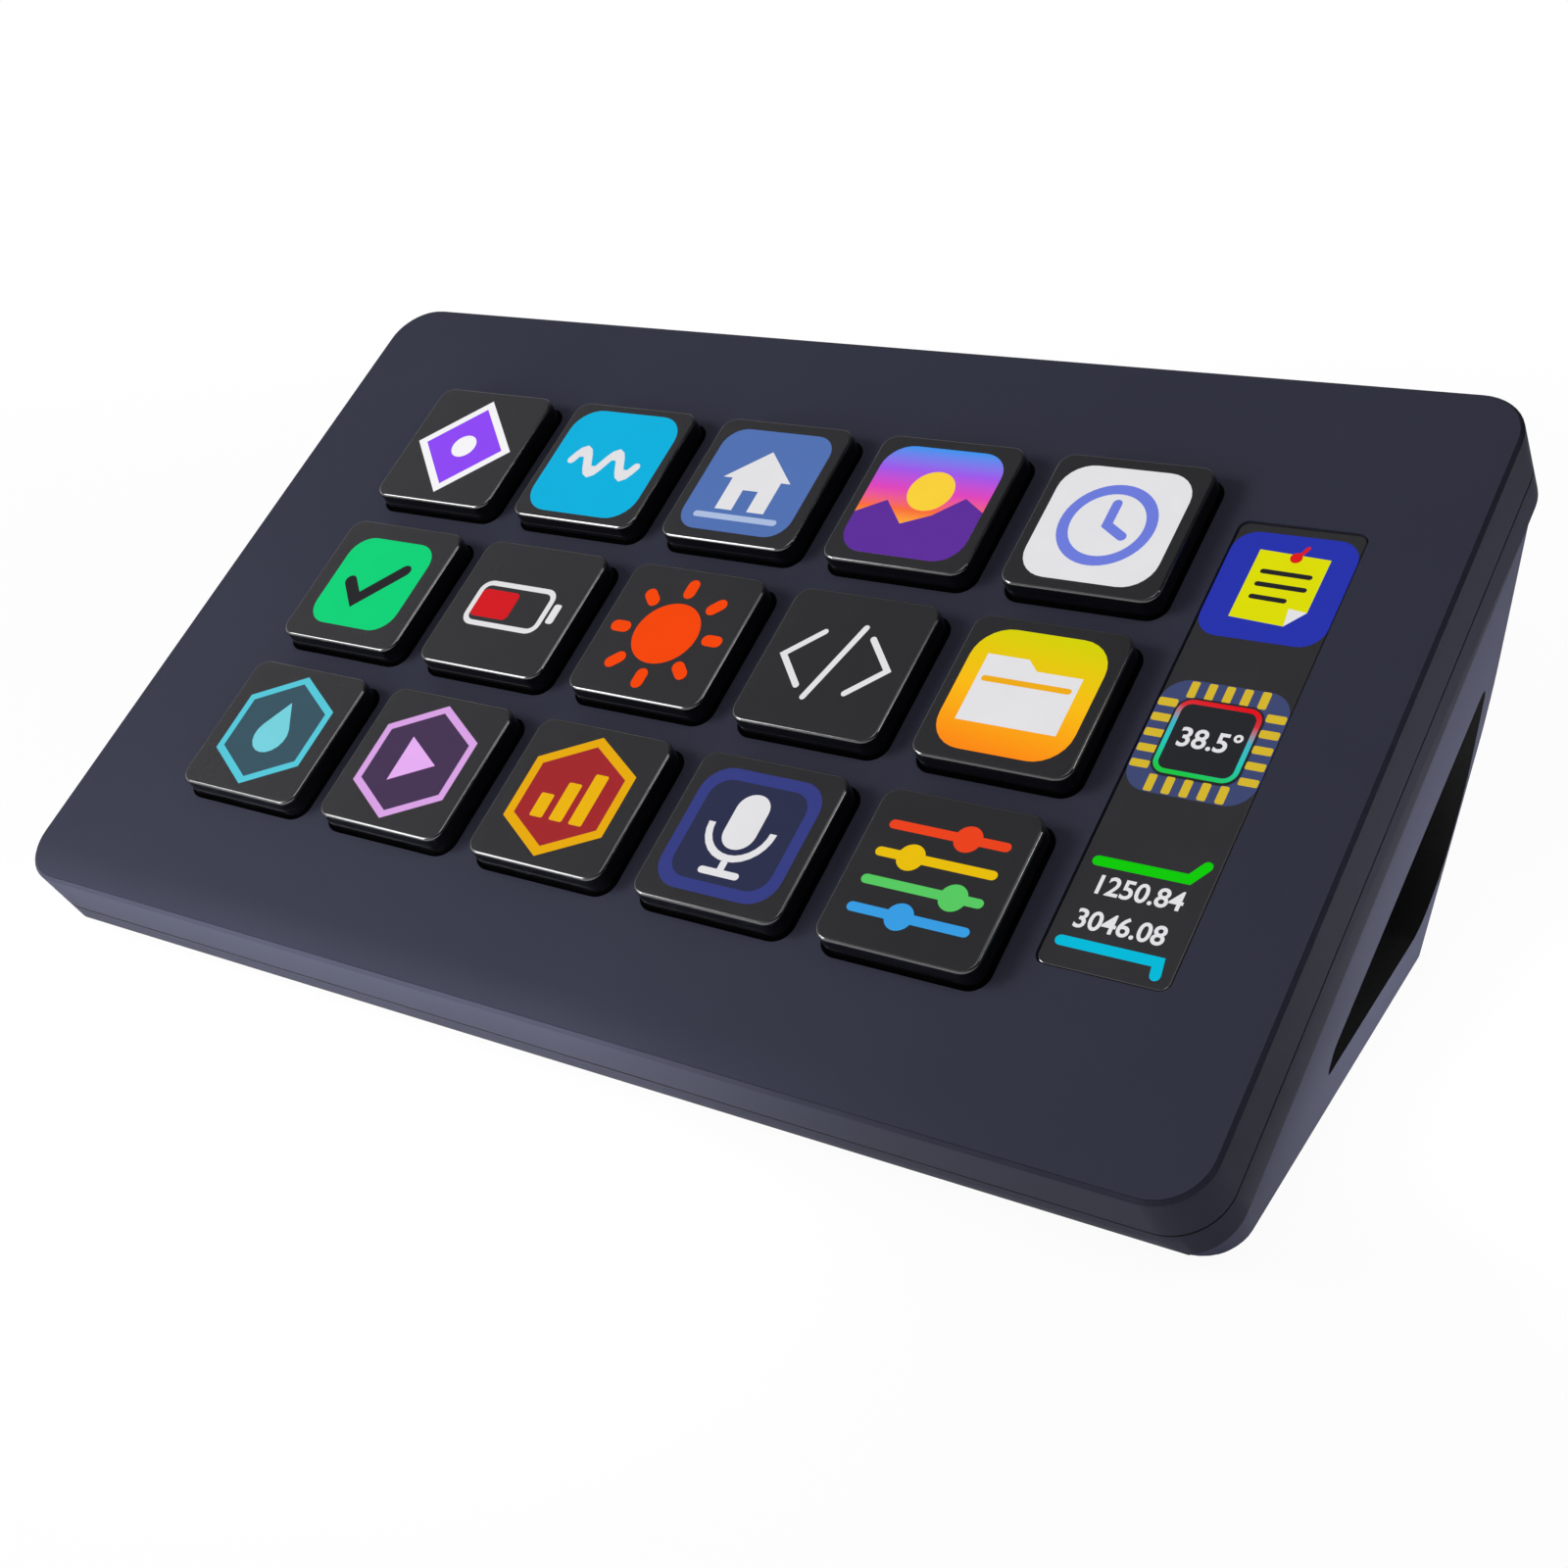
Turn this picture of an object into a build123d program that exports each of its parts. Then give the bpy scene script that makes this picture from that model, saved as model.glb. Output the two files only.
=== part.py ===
from build123d import *

import os
from math import cos, hypot, radians, sin, tan

# Keypad with fifteen display keys and a side display strip, on a hollow wedge stand.
# Sizes in millimetres. Depths are measured down from the face of the key deck.

# ---- housing ------------------------------------------------------------------------
tilt = 38.0  # angle of the key deck over the desk
side_margin = 15.75  # deck edge to the key block, on the left
strip_margin = 9.15  # display strip to the deck edge, on the right
strip_gap = 2.9  # key block to display strip
end_margin = 13.3  # deck edge to the key block, front and rear
deck_corner = 5.0
stand_corner = 6.0
deck_edge = 0.35
cover_thickness = 2.0
cover_wall = 1.8
seam_drop = 0.3  # end of the top cover's skirt under its clamp rib
seam_gap = 0.2
rim_depth = 3.2  # straight rim of the lower shell under the seam
front_drop = 1.35  # from the rim down to the base plane, along the front wall
draft = 13.2
front_round = 8.0
heel_round = 5.0
rear_bend_round = 30.0
rear_upright = 28.74  # height of the upright rear wall, up to its bend into the slope
rear_inset = 1.7  # overhang of the rim over the rear slope
shell_floor = 2.0
lip_thickness = 1.2
lip_rise = 2.4
lip_clearance = 0.1
catch_width = 9.0
catch_pitch = 38.0
catch_reach = 0.7
catch_thickness = 1.0
catch_clearance = 0.2

# tunnel through the stand
base_wall = 5.15
tunnel_nose = 2.95  # height of the tunnel's front end
tunnel_roof_wall = 3.45  # electronics bay to tunnel, under the middle of the deck
tunnel_roof_lean = 3.9  # how much less the tunnel's roof rises than the deck
tunnel_slope_wall = 9.3
tunnel_rear_wall = 5.7
tunnel_nose_round = 1.3
tunnel_top_round = 2.0
tunnel_bend_round = 18.0
tunnel_heel_round = 8.0

# ---- keys ---------------------------------------------------------------------------
key_rows = 3
key_columns = 5
key_pitch = 19.15
key_rise = 2.25  # key face over the deck
key_travel = 1.6
travel_clearance = 0.15
cap_width = 15.7
cap_corner = 1.6
cap_wall = 1.25
lens_inset = 0.15  # edge of the lens inside the edge of its frame
lens_thickness = 1.3
lens_corner = 1.4
plug_length = 1.0
plug_clearance = 0.05
hole_clearance = 0.3
flange_overlap = 0.6
flange_thickness = 1.0
flange_clearance = 0.15

# ---- display strip ------------------------------------------------------------------
strip_width = 11.9
strip_length = 46.6
strip_corner = 1.0
window_thickness = 1.2
window_sink = 0.12
window_ledge = 0.7
window_clearance = 0.05

# ---- layers under the deck ----------------------------------------------------------
layer_left_margin = 6.85  # how far the layers reach past the key block
layer_right_margin = 3.05  # how far they reach past the display strip
layer_end_margin = 2.5
clamp_rib = 1.0
membrane_thickness = 0.8
spring_wall = 0.9
spring_gap = 0.25
spring_inset = 0.85  # spring wall inside the edge of the key's flange
pad_ledge = 0.2
circuit_thickness = 0.8
panel_thickness = 1.5
tray_thickness = 0.8
tray_wall = 0.8
tray_clearance = 0.1
tray_wall_drop = 0.2  # top of the tray's wall below the clamp rib

# ---- boards -------------------------------------------------------------------------
board_gap = 2.8  # tray to main board
board_thickness = 1.6
board_width = 92.0
board_length = 54.0
board_rear_gap = 1.62
board_hole_inset_x = 5.0
board_hole_inset_v = 6.0
connector_height = 1.2
connector_length = 4.0
connector_inset = 0.7
connector_overhang = 1.0  # connector past each side of its ribbon
ribbon_thickness = 0.3
ribbon_bend = 1.0
ribbon_lead = 2.0  # how far the ribbons reach past the layers before they turn down
display_ribbon_x = 18.0
display_ribbon_width = 18.0
circuit_ribbon_x = -18.0
circuit_ribbon_width = 12.0

# ---- fasteners ----------------------------------------------------------------------
post_width = 5.2
screw_clearance = 0.15
thread_fit = 0.02
screw_radius = 1.0
screw_head_radius = 1.9
screw_head_height = 1.1
screw_tip_room = 0.4
tray_screw_length = 5.0
tray_screw_x = 34.0
tray_screw_offset = 2.8  # screw centres past the layers
board_screw_length = 4.5
case_screw_inset = 10.0  # screw centres in from the sides of the deck
case_screw_front = 6.9  # screw centres back from the front of the deck
case_screw_radius = 1.25
case_head_radius = 2.3
case_head_height = 1.5
case_head_gap = 0.058  # screw head to the foot over it
case_tip_wall = 0.6
case_post_width = 7.2

# ---- socket -------------------------------------------------------------------------
socket_width = 8.94
socket_height = 3.26
socket_length = 8.0
socket_wall = 0.3
socket_fit = 0.15
socket_floor_gap = 0.34
tongue_width = 6.7
tongue_thickness = 0.7
tongue_length = 6.2
plug_pocket_width = 13.0
plug_pocket_height = 7.2
plug_pocket_depth = 1.0

# ---- feet ---------------------------------------------------------------------------
foot_width = 22.0
foot_length = 8.0
foot_thickness = 1.6
foot_proud = 0.6
foot_fit = 0.1
front_foot_offset = 6.0  # feet's centres in from the case screws
rear_foot_inset = 24.0  # feet's centres in from the sides of the deck

# ---- what fits what -----------------------------------------------------------------
tilt_sin = sin(radians(tilt))
tilt_cos = cos(radians(tilt))
tilt_tan = tan(radians(tilt))
draft_tan = tan(radians(draft))

key_block_width = (key_columns - 1) * key_pitch + cap_width
key_block_length = (key_rows - 1) * key_pitch + cap_width
deck_width = side_margin + key_block_width + strip_gap + strip_width + strip_margin
deck_length = key_block_length + 2 * end_margin
half_width = deck_width / 2
half_length = deck_length / 2
key_block_shift = side_margin + key_block_width / 2 - half_width
strip_shift = half_width - strip_margin - strip_width / 2
layer_width = (
    layer_left_margin + key_block_width + strip_gap + strip_width + layer_right_margin
)
layer_length = key_block_length + 2 * layer_end_margin
layer_shift = half_width - strip_margin + layer_right_margin - layer_width / 2

cap_hole = cap_width + 2 * hole_clearance
flange_width = cap_hole + 2 * flange_overlap
key_face = cap_width - 2 * lens_inset
cap_window = cap_width - 2 * cap_wall
cap_top = key_rise - lens_thickness
window_seat = window_sink + window_thickness
spring_width = flange_width - 2 * spring_inset
spring_inner = spring_width - 2 * spring_wall
pad_window = spring_inner - 2 * pad_ledge

# depths below the face of the deck
flange_depth = cover_thickness + flange_clearance
flange_back = flange_depth + flange_thickness
clamp_depth = flange_back + key_travel + travel_clearance
circuit_depth = clamp_depth + membrane_thickness
panel_depth = circuit_depth + circuit_thickness
panel_back = panel_depth + panel_thickness
board_depth = panel_back + tray_thickness + board_gap
board_back = board_depth + board_thickness
bay_depth = board_back + socket_height + socket_floor_gap
seam_depth = clamp_depth + seam_drop
rim_top = seam_depth + seam_gap
crease_depth = rim_top + rim_depth
front_depth = crease_depth + front_drop

shell_wall = cover_wall + lip_clearance + lip_thickness
rear_lean = tan(radians(tilt - draft))
crease_reach = (deck_length - rear_inset) * tilt_cos - front_drop * tilt_sin
crease_height = (deck_length - rear_inset) * tilt_sin + front_drop * tilt_cos
rear_reach = crease_reach + (crease_height - rear_upright) * rear_lean

board_hole_pitch_x = board_width - 2 * board_hole_inset_x
board_hole_pitch_v = board_length - 2 * board_hole_inset_v
bay_front = half_length - shell_wall
bay_rear = half_length - rear_inset - shell_wall
board_rear = bay_rear - (board_back - crease_depth) * draft_tan - board_rear_gap
board_shift = board_rear - board_length / 2
tray_screw_v = layer_length / 2 + tray_screw_offset
case_screw_x = half_width - case_screw_inset
case_screw_v = case_screw_front - half_length
case_screw_seat = (
    front_depth
    + case_screw_front * tilt_tan
    - (foot_thickness - foot_proud) / tilt_cos
    - (case_head_radius + screw_clearance) * tilt_tan
    - case_head_height
    - case_head_gap
)
case_screw_length = case_screw_seat - cover_thickness - screw_tip_room - case_tip_wall
front_foot_shift = case_screw_x - front_foot_offset
rear_foot_shift = half_width - rear_foot_inset

# ---- frames of reference ------------------------------------------------------------
base_front_y = (front_depth * tilt_sin - rear_reach) / 2
rear_wall_y = base_front_y + rear_reach
deck_y = base_front_y + half_length * tilt_cos - front_depth * tilt_sin
deck_z = foot_proud + half_length * tilt_sin + front_depth * tilt_cos
deck = Plane(origin=(0, deck_y, deck_z), x_dir=(1, 0, 0), z_dir=(0, -tilt_sin, tilt_cos))
deck_axis = Axis(deck.origin, deck.z_dir)
beyond = 2 * deck_width  # longer than anything in the housing


def below(depth):
    """Plane parallel to the key deck, sunk into the housing."""
    return deck.offset(-depth)


def side_point(along, depth):
    """World Y and Z of a point along the deck and below its face."""
    return (
        deck_y + along * tilt_cos + depth * tilt_sin,
        deck_z + along * tilt_sin - depth * tilt_cos,
    )


def side_plane(x):
    """Upright plane across X: its own x runs up the deck, its own y out of the deck."""
    return Plane(origin=(x, deck_y, deck_z), x_dir=(0, tilt_cos, tilt_sin), z_dir=(1, 0, 0))


os.makedirs("parts", exist_ok=True)

# ---- lower shell: rim, drafted stand, tunnel, electronics bay -------------------------
crease_front = side_point(-half_length, crease_depth)
crease_rear = side_point(half_length - rear_inset, crease_depth)
rear_bend_z = foot_proud + rear_upright

# tunnel corners: its roof leans from the deck, its rear follows the slope and the wall
roof_slope = tan(radians(tilt - tunnel_roof_lean))
roof_y, roof_z = side_point(0, bay_depth + tunnel_roof_wall)
tunnel_base_z = foot_proud + base_wall
tunnel_nose_z = tunnel_base_z + tunnel_nose
tunnel_nose_y = roof_y + (tunnel_nose_z - roof_z) / roof_slope
tunnel_rear_y = rear_wall_y - tunnel_rear_wall
slope_start_y = crease_rear[0] - tunnel_slope_wall * hypot(1, rear_lean)
tunnel_bend_z = crease_rear[1] - (tunnel_rear_y - slope_start_y) / rear_lean
tunnel_top_y = (
    slope_start_y + rear_lean * (crease_rear[1] - roof_z + roof_y * roof_slope)
) / (1 + rear_lean * roof_slope)
tunnel_top_z = roof_z + (tunnel_top_y - roof_y) * roof_slope
tunnel_corners = (
    (tunnel_nose_y, tunnel_base_z, tunnel_nose_round),
    (tunnel_nose_y, tunnel_nose_z, tunnel_nose_round),
    (tunnel_top_y, tunnel_top_z, tunnel_top_round),
    (tunnel_rear_y, tunnel_bend_z, tunnel_bend_round),
    (tunnel_rear_y, tunnel_base_z, tunnel_heel_round),
)

# upright across the deck: its own x is the deck's and its own y is the deck's normal
across = Plane(origin=deck.origin, x_dir=(1, 0, 0), z_dir=(0, -tilt_cos, -tilt_sin))

with BuildSketch(Plane.YZ) as base_profile:
    with BuildLine():
        Polyline(
            side_point(-half_length, -deck_length),
            side_point(-half_length, front_depth),
            (rear_wall_y, foot_proud),
            (rear_wall_y, 2 * deck_length),
            close=True,
        )
    make_face()
    for corner_y, radius in ((base_front_y, front_round), (rear_wall_y, heel_round)):
        corner_spot = Vector(corner_y, foot_proud)
        fillet(base_profile.vertices().sort_by_distance(corner_spot)[0], radius)

with BuildPart() as outer_body:
    with BuildSketch(Plane.YZ) as column_profile:
        with BuildLine():
            Polyline(
                crease_front,
                side_point(-half_length, deck_length),
                (rear_wall_y, -deck_length),
                (rear_wall_y, rear_bend_z),
                crease_rear,
                close=True,
            )
        make_face()
        bend_spot = Vector(rear_wall_y, rear_bend_z)
        fillet(column_profile.vertices().sort_by_distance(bend_spot)[0], rear_bend_round)
    extrude(amount=half_width, both=True)
    with BuildSketch(across):
        with BuildLine():
            Polyline(
                (-half_width, -crease_depth),
                (half_width, -crease_depth),
                (half_width - 2 * deck_length * draft_tan, -crease_depth - 2 * deck_length),
                (-half_width + 2 * deck_length * draft_tan, -crease_depth - 2 * deck_length),
                close=True,
            )
        make_face()
    extrude(amount=beyond, both=True, mode=Mode.INTERSECT)
    drafted_corners = outer_body.edges().filter_by(
        lambda edge: abs(abs((edge @ 0).X) - abs((edge @ 1).X)) > deck_edge
    )
    fillet(drafted_corners, stand_corner)
    with BuildSketch(below(rim_top)):
        RectangleRounded(deck_width, deck_length, deck_corner)
    extrude(amount=-rim_depth)
    extrude(base_profile.sketch, amount=deck_width, both=True, mode=Mode.INTERSECT)

with BuildPart() as bay:
    with BuildSketch(deck):
        with Locations((0, (bay_rear - bay_front) / 2)):
            RectangleRounded(
                deck_width - 2 * shell_wall,
                bay_front + bay_rear,
                deck_corner - cover_wall,
            )
    extrude(amount=-crease_depth)
    with BuildSketch(below(crease_depth)):
        with Locations((0, (bay_rear - bay_front) / 2)):
            RectangleRounded(
                deck_width - 2 * shell_wall,
                bay_front + bay_rear,
                deck_corner - cover_wall,
            )
    extrude(amount=crease_depth - bay_depth, taper=draft)
    bay_floor_start = front_depth + shell_wall * tilt_tan - shell_floor / tilt_cos
    with BuildSketch(side_plane(0)):
        with BuildLine():
            Polyline(
                (-bay_front, 0),
                (-bay_front, -bay_floor_start),
                (-bay_front + (bay_depth - bay_floor_start) / tilt_tan, -bay_depth),
                (bay_rear, -bay_depth),
                (bay_rear, 0),
                close=True,
            )
        make_face()
    extrude(amount=half_width, both=True, mode=Mode.INTERSECT)

socket_depth = board_back + socket_height / 2
socket_face = Plane(
    origin=deck.from_local_coords(
        Vector(0, half_length - rear_inset - (socket_depth - crease_depth) * draft_tan, -socket_depth)
    ),
    x_dir=(1, 0, 0),
    z_dir=(0, tilt_cos, tilt_sin),
)
board_seat = below(board_back)
case_seat = below(case_screw_seat)
front_foot_y = base_front_y + (case_screw_v + half_length) / tilt_cos
rear_foot_y = rear_wall_y - heel_round - foot_length
foot_places = {
    "foot_front_left": (-front_foot_shift, front_foot_y),
    "foot_front_right": (front_foot_shift, front_foot_y),
    "foot_rear_left": (-rear_foot_shift, rear_foot_y),
    "foot_rear_right": (rear_foot_shift, rear_foot_y),
}

with BuildPart() as case_posts:
    with BuildSketch(below(rim_top)):
        with Locations((0, case_screw_v)):
            with GridLocations(2 * case_screw_x, 0, 2, 1):
                Rectangle(post_width, post_width)
    extrude(amount=rim_top - case_screw_seat)
    with BuildSketch(below(case_screw_seat - screw_head_height)):
        with Locations((0, case_screw_v)):
            with GridLocations(2 * case_screw_x, 0, 2, 1):
                Rectangle(case_post_width, case_post_width)
    extrude(amount=-front_depth)
    extrude(base_profile.sketch, amount=deck_width, both=True, mode=Mode.INTERSECT)

with BuildPart() as lower_shell:
    add(outer_body.part)
    # lip that stands inside the cover's wall, with pockets for its catches
    lip_inset = cover_wall + lip_clearance
    with BuildSketch(below(rim_top)):
        RectangleRounded(
            deck_width - 2 * lip_inset, deck_length - 2 * lip_inset, deck_corner - lip_inset
        )
    extrude(amount=lip_rise)
    add(bay.part, mode=Mode.SUBTRACT)
    with BuildSketch(below(rim_top)):
        with Locations((0, half_length - lip_inset)):
            with GridLocations(catch_pitch, 0, 3, 1):
                Rectangle(
                    catch_width + 2 * catch_clearance,
                    2 * (catch_reach + catch_clearance - lip_clearance),
                )
    extrude(amount=catch_thickness + seam_gap + catch_clearance, mode=Mode.SUBTRACT)
    # tunnel from side to side
    with BuildSketch(Plane.YZ) as tunnel_profile:
        with BuildLine():
            Polyline(*[(corner_y, corner_z) for corner_y, corner_z, _ in tunnel_corners], close=True)
        make_face()
        for corner_y, corner_z, radius in tunnel_corners:
            corner_spot = Vector(corner_y, corner_z)
            fillet(tunnel_profile.vertices().sort_by_distance(corner_spot)[0], radius)
    extrude(amount=deck_width, both=True, mode=Mode.SUBTRACT)
    # posts that carry the main board
    with BuildSketch(board_seat):
        with Locations((0, board_shift)):
            with GridLocations(board_hole_pitch_x, board_hole_pitch_v, 2, 2):
                Rectangle(post_width, post_width)
    extrude(amount=board_back - bay_depth)
    with BuildSketch(board_seat):
        with Locations((0, board_shift)):
            with GridLocations(board_hole_pitch_x, board_hole_pitch_v, 2, 2):
                Circle(screw_radius + thread_fit)
    extrude(amount=-(board_screw_length - board_thickness + screw_tip_room), mode=Mode.SUBTRACT)
    # posts for the case screws, with a well for each head that opens under a foot
    add(case_posts.part)
    with BuildSketch(below(rim_top)):
        with Locations((0, case_screw_v)):
            with GridLocations(2 * case_screw_x, 0, 2, 1):
                Circle(case_screw_radius + screw_clearance)
    extrude(amount=rim_top - case_screw_seat, mode=Mode.SUBTRACT)
    with BuildSketch(case_seat):
        with Locations((0, case_screw_v)):
            with GridLocations(2 * case_screw_x, 0, 2, 1):
                Circle(case_head_radius + screw_clearance)
    extrude(amount=-front_depth, mode=Mode.SUBTRACT)
    # recesses for the feet
    with BuildSketch(Plane.XY.offset(foot_proud)):
        with Locations(*foot_places.values()):
            SlotOverall(foot_width + 2 * foot_fit, foot_length + 2 * foot_fit)
    extrude(amount=foot_thickness - foot_proud, mode=Mode.SUBTRACT)
    # opening for the socket, in a recess that takes the plug's grip
    with BuildSketch(socket_face):
        SlotOverall(socket_width + 2 * socket_fit, socket_height + 2 * socket_fit)
    extrude(amount=shell_wall + plug_pocket_depth, both=True, mode=Mode.SUBTRACT)
    with BuildSketch(socket_face.offset(-plug_pocket_depth)):
        SlotOverall(plug_pocket_width, plug_pocket_height)
    extrude(amount=plug_pocket_depth + plug_pocket_height, mode=Mode.SUBTRACT)
lower_shell.part.label = "lower_shell"
export_step(lower_shell.part, "parts/lower_shell.step")

# ---- top cover: deck with key holes and the strip's slot, skirt, ribs and posts -------
with BuildPart() as top_cover:
    with BuildSketch(deck):
        RectangleRounded(deck_width, deck_length, deck_corner)
    extrude(amount=-seam_depth)
    chamfer(top_cover.faces().sort_by(deck_axis)[-1].edges(), deck_edge)
    with BuildSketch(below(cover_thickness)):
        RectangleRounded(
            deck_width - 2 * cover_wall, deck_length - 2 * cover_wall, deck_corner - cover_wall
        )
    extrude(amount=cover_thickness - seam_depth, mode=Mode.SUBTRACT)
    # catches along the rear wall
    with BuildSketch(below(seam_depth)):
        with Locations((0, half_length - cover_wall)):
            with GridLocations(catch_pitch, 0, 3, 1):
                Rectangle(catch_width, 2 * catch_reach)
    extrude(amount=catch_thickness)
    # rib that clamps the edge of the layers, and posts for the tray and case screws
    with BuildSketch(below(cover_thickness)):
        with Locations((layer_shift, 0)):
            Rectangle(layer_width, layer_length)
            Rectangle(
                layer_width - 2 * clamp_rib, layer_length - 2 * clamp_rib, mode=Mode.SUBTRACT
            )
    extrude(amount=cover_thickness - clamp_depth)
    with BuildSketch(below(cover_thickness)):
        with GridLocations(2 * tray_screw_x, 2 * tray_screw_v, 2, 2):
            Rectangle(post_width, post_width)
    extrude(amount=cover_thickness - panel_back)
    with BuildSketch(below(cover_thickness)):
        with Locations((0, case_screw_v)):
            with GridLocations(2 * case_screw_x, 0, 2, 1):
                Rectangle(post_width, post_width)
    extrude(amount=cover_thickness - seam_depth)
    with BuildSketch(below(panel_back)):
        with GridLocations(2 * tray_screw_x, 2 * tray_screw_v, 2, 2):
            Circle(screw_radius + thread_fit)
    extrude(amount=tray_screw_length - tray_thickness + screw_tip_room, mode=Mode.SUBTRACT)
    with BuildSketch(below(seam_depth)):
        with Locations((0, case_screw_v)):
            with GridLocations(2 * case_screw_x, 0, 2, 1):
                Circle(case_screw_radius + thread_fit)
    extrude(
        amount=seam_depth - case_screw_seat + case_screw_length + screw_tip_room,
        mode=Mode.SUBTRACT,
    )
    # key holes
    with BuildSketch(deck):
        with Locations((key_block_shift, 0)):
            with GridLocations(key_pitch, key_pitch, key_columns, key_rows):
                RectangleRounded(cap_hole, cap_hole, cap_corner + hole_clearance)
    extrude(amount=-cover_thickness, mode=Mode.SUBTRACT)
    # stepped slot for the window over the strip
    with BuildSketch(deck):
        with Locations((strip_shift, 0)):
            RectangleRounded(strip_width, strip_length, strip_corner)
    extrude(amount=-window_seat, mode=Mode.SUBTRACT)
    with BuildSketch(deck):
        with Locations((strip_shift, 0)):
            Rectangle(strip_width - 2 * window_ledge, strip_length - 2 * window_ledge)
    extrude(amount=-cover_thickness, mode=Mode.SUBTRACT)
top_cover.part.label = "top_cover"
export_step(top_cover.part, "parts/top_cover.step")

with BuildPart() as display_window:
    with BuildSketch(below(window_seat)):
        with Locations((strip_shift, 0)):
            RectangleRounded(
                strip_width - 2 * window_clearance,
                strip_length - 2 * window_clearance,
                strip_corner - window_clearance,
            )
    extrude(amount=window_thickness)
display_window.part.label = "display_window"
export_step(display_window.part, "parts/display_window.step")

# ---- keys: a black frame with a flange under the deck, and a clear lens on it ---------
for row in range(key_rows):
    for column in range(key_columns):
        key_x = key_block_shift + (column - (key_columns - 1) / 2) * key_pitch
        key_v = ((key_rows - 1) / 2 - row) * key_pitch
        key_name = f"r{row + 1}c{column + 1}"
        key_seat = Plane(
            origin=deck.from_local_coords(Vector(key_x, key_v, 0)),
            x_dir=deck.x_dir,
            z_dir=deck.z_dir,
        )

        with BuildPart() as key_frame:
            with BuildSketch(key_seat.offset(cap_top)):
                RectangleRounded(cap_width, cap_width, cap_corner)
            extrude(amount=-cap_top - flange_depth)
            with BuildSketch(key_seat.offset(-flange_depth)):
                Rectangle(flange_width, flange_width)
            extrude(amount=-flange_thickness)
            with BuildSketch(key_seat.offset(cap_top)):
                Rectangle(cap_window, cap_window)
            extrude(amount=-cap_top - flange_back, mode=Mode.SUBTRACT)
        key_frame.part.label = f"key_frame_{key_name}"
        export_step(key_frame.part, f"parts/key_frame_{key_name}.step")

        with BuildPart() as key_lens:
            with BuildSketch(key_seat.offset(cap_top)):
                RectangleRounded(key_face, key_face, lens_corner)
            extrude(amount=lens_thickness)
            with BuildSketch(key_seat.offset(cap_top)):
                Rectangle(cap_window - 2 * plug_clearance, cap_window - 2 * plug_clearance)
            extrude(amount=-plug_length)
        key_lens.part.label = f"key_lens_{key_name}"
        export_step(key_lens.part, f"parts/key_lens_{key_name}.step")

# ---- layers under the deck ------------------------------------------------------------
strip_slot_width = strip_width - 2 * window_ledge
strip_slot_length = strip_length - 2 * window_ledge

with BuildPart() as key_membrane:
    with BuildSketch(below(clamp_depth)):
        with Locations((layer_shift, 0)):
            Rectangle(layer_width, layer_length)
        with Locations((strip_shift, 0)):
            Rectangle(strip_slot_width, strip_slot_length, mode=Mode.SUBTRACT)
        with Locations((key_block_shift, 0)):
            with GridLocations(key_pitch, key_pitch, key_columns, key_rows):
                Rectangle(pad_window, pad_window, mode=Mode.SUBTRACT)
    extrude(amount=-membrane_thickness)
    # spring walls that carry the keys' flanges
    with BuildSketch(below(clamp_depth)):
        with Locations((key_block_shift, 0)):
            with GridLocations(key_pitch, key_pitch, key_columns, key_rows):
                Rectangle(spring_width, spring_width)
                Rectangle(spring_inner, spring_inner, mode=Mode.SUBTRACT)
    extrude(amount=clamp_depth - flange_back - spring_gap)
key_membrane.part.label = "key_membrane"
export_step(key_membrane.part, "parts/key_membrane.step")

with BuildPart() as key_circuit:
    with BuildSketch(below(circuit_depth)):
        with Locations((layer_shift, 0)):
            Rectangle(layer_width, layer_length)
        with Locations((strip_shift, 0)):
            Rectangle(strip_slot_width, strip_slot_length, mode=Mode.SUBTRACT)
        with Locations((key_block_shift, 0)):
            with GridLocations(key_pitch, key_pitch, key_columns, key_rows):
                Rectangle(pad_window, pad_window, mode=Mode.SUBTRACT)
    extrude(amount=-circuit_thickness)
key_circuit.part.label = "key_circuit"
export_step(key_circuit.part, "parts/key_circuit.step")

with BuildPart() as display_panel:
    with BuildSketch(below(panel_depth)):
        with Locations((layer_shift, 0)):
            Rectangle(layer_width, layer_length)
    extrude(amount=-panel_thickness)
display_panel.part.label = "display_panel"
export_step(display_panel.part, "parts/display_panel.step")

tray_inner_width = layer_width + 2 * tray_clearance
tray_inner_length = layer_length + 2 * tray_clearance
ribbon_places = ((display_ribbon_x, display_ribbon_width), (circuit_ribbon_x, circuit_ribbon_width))

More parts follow.
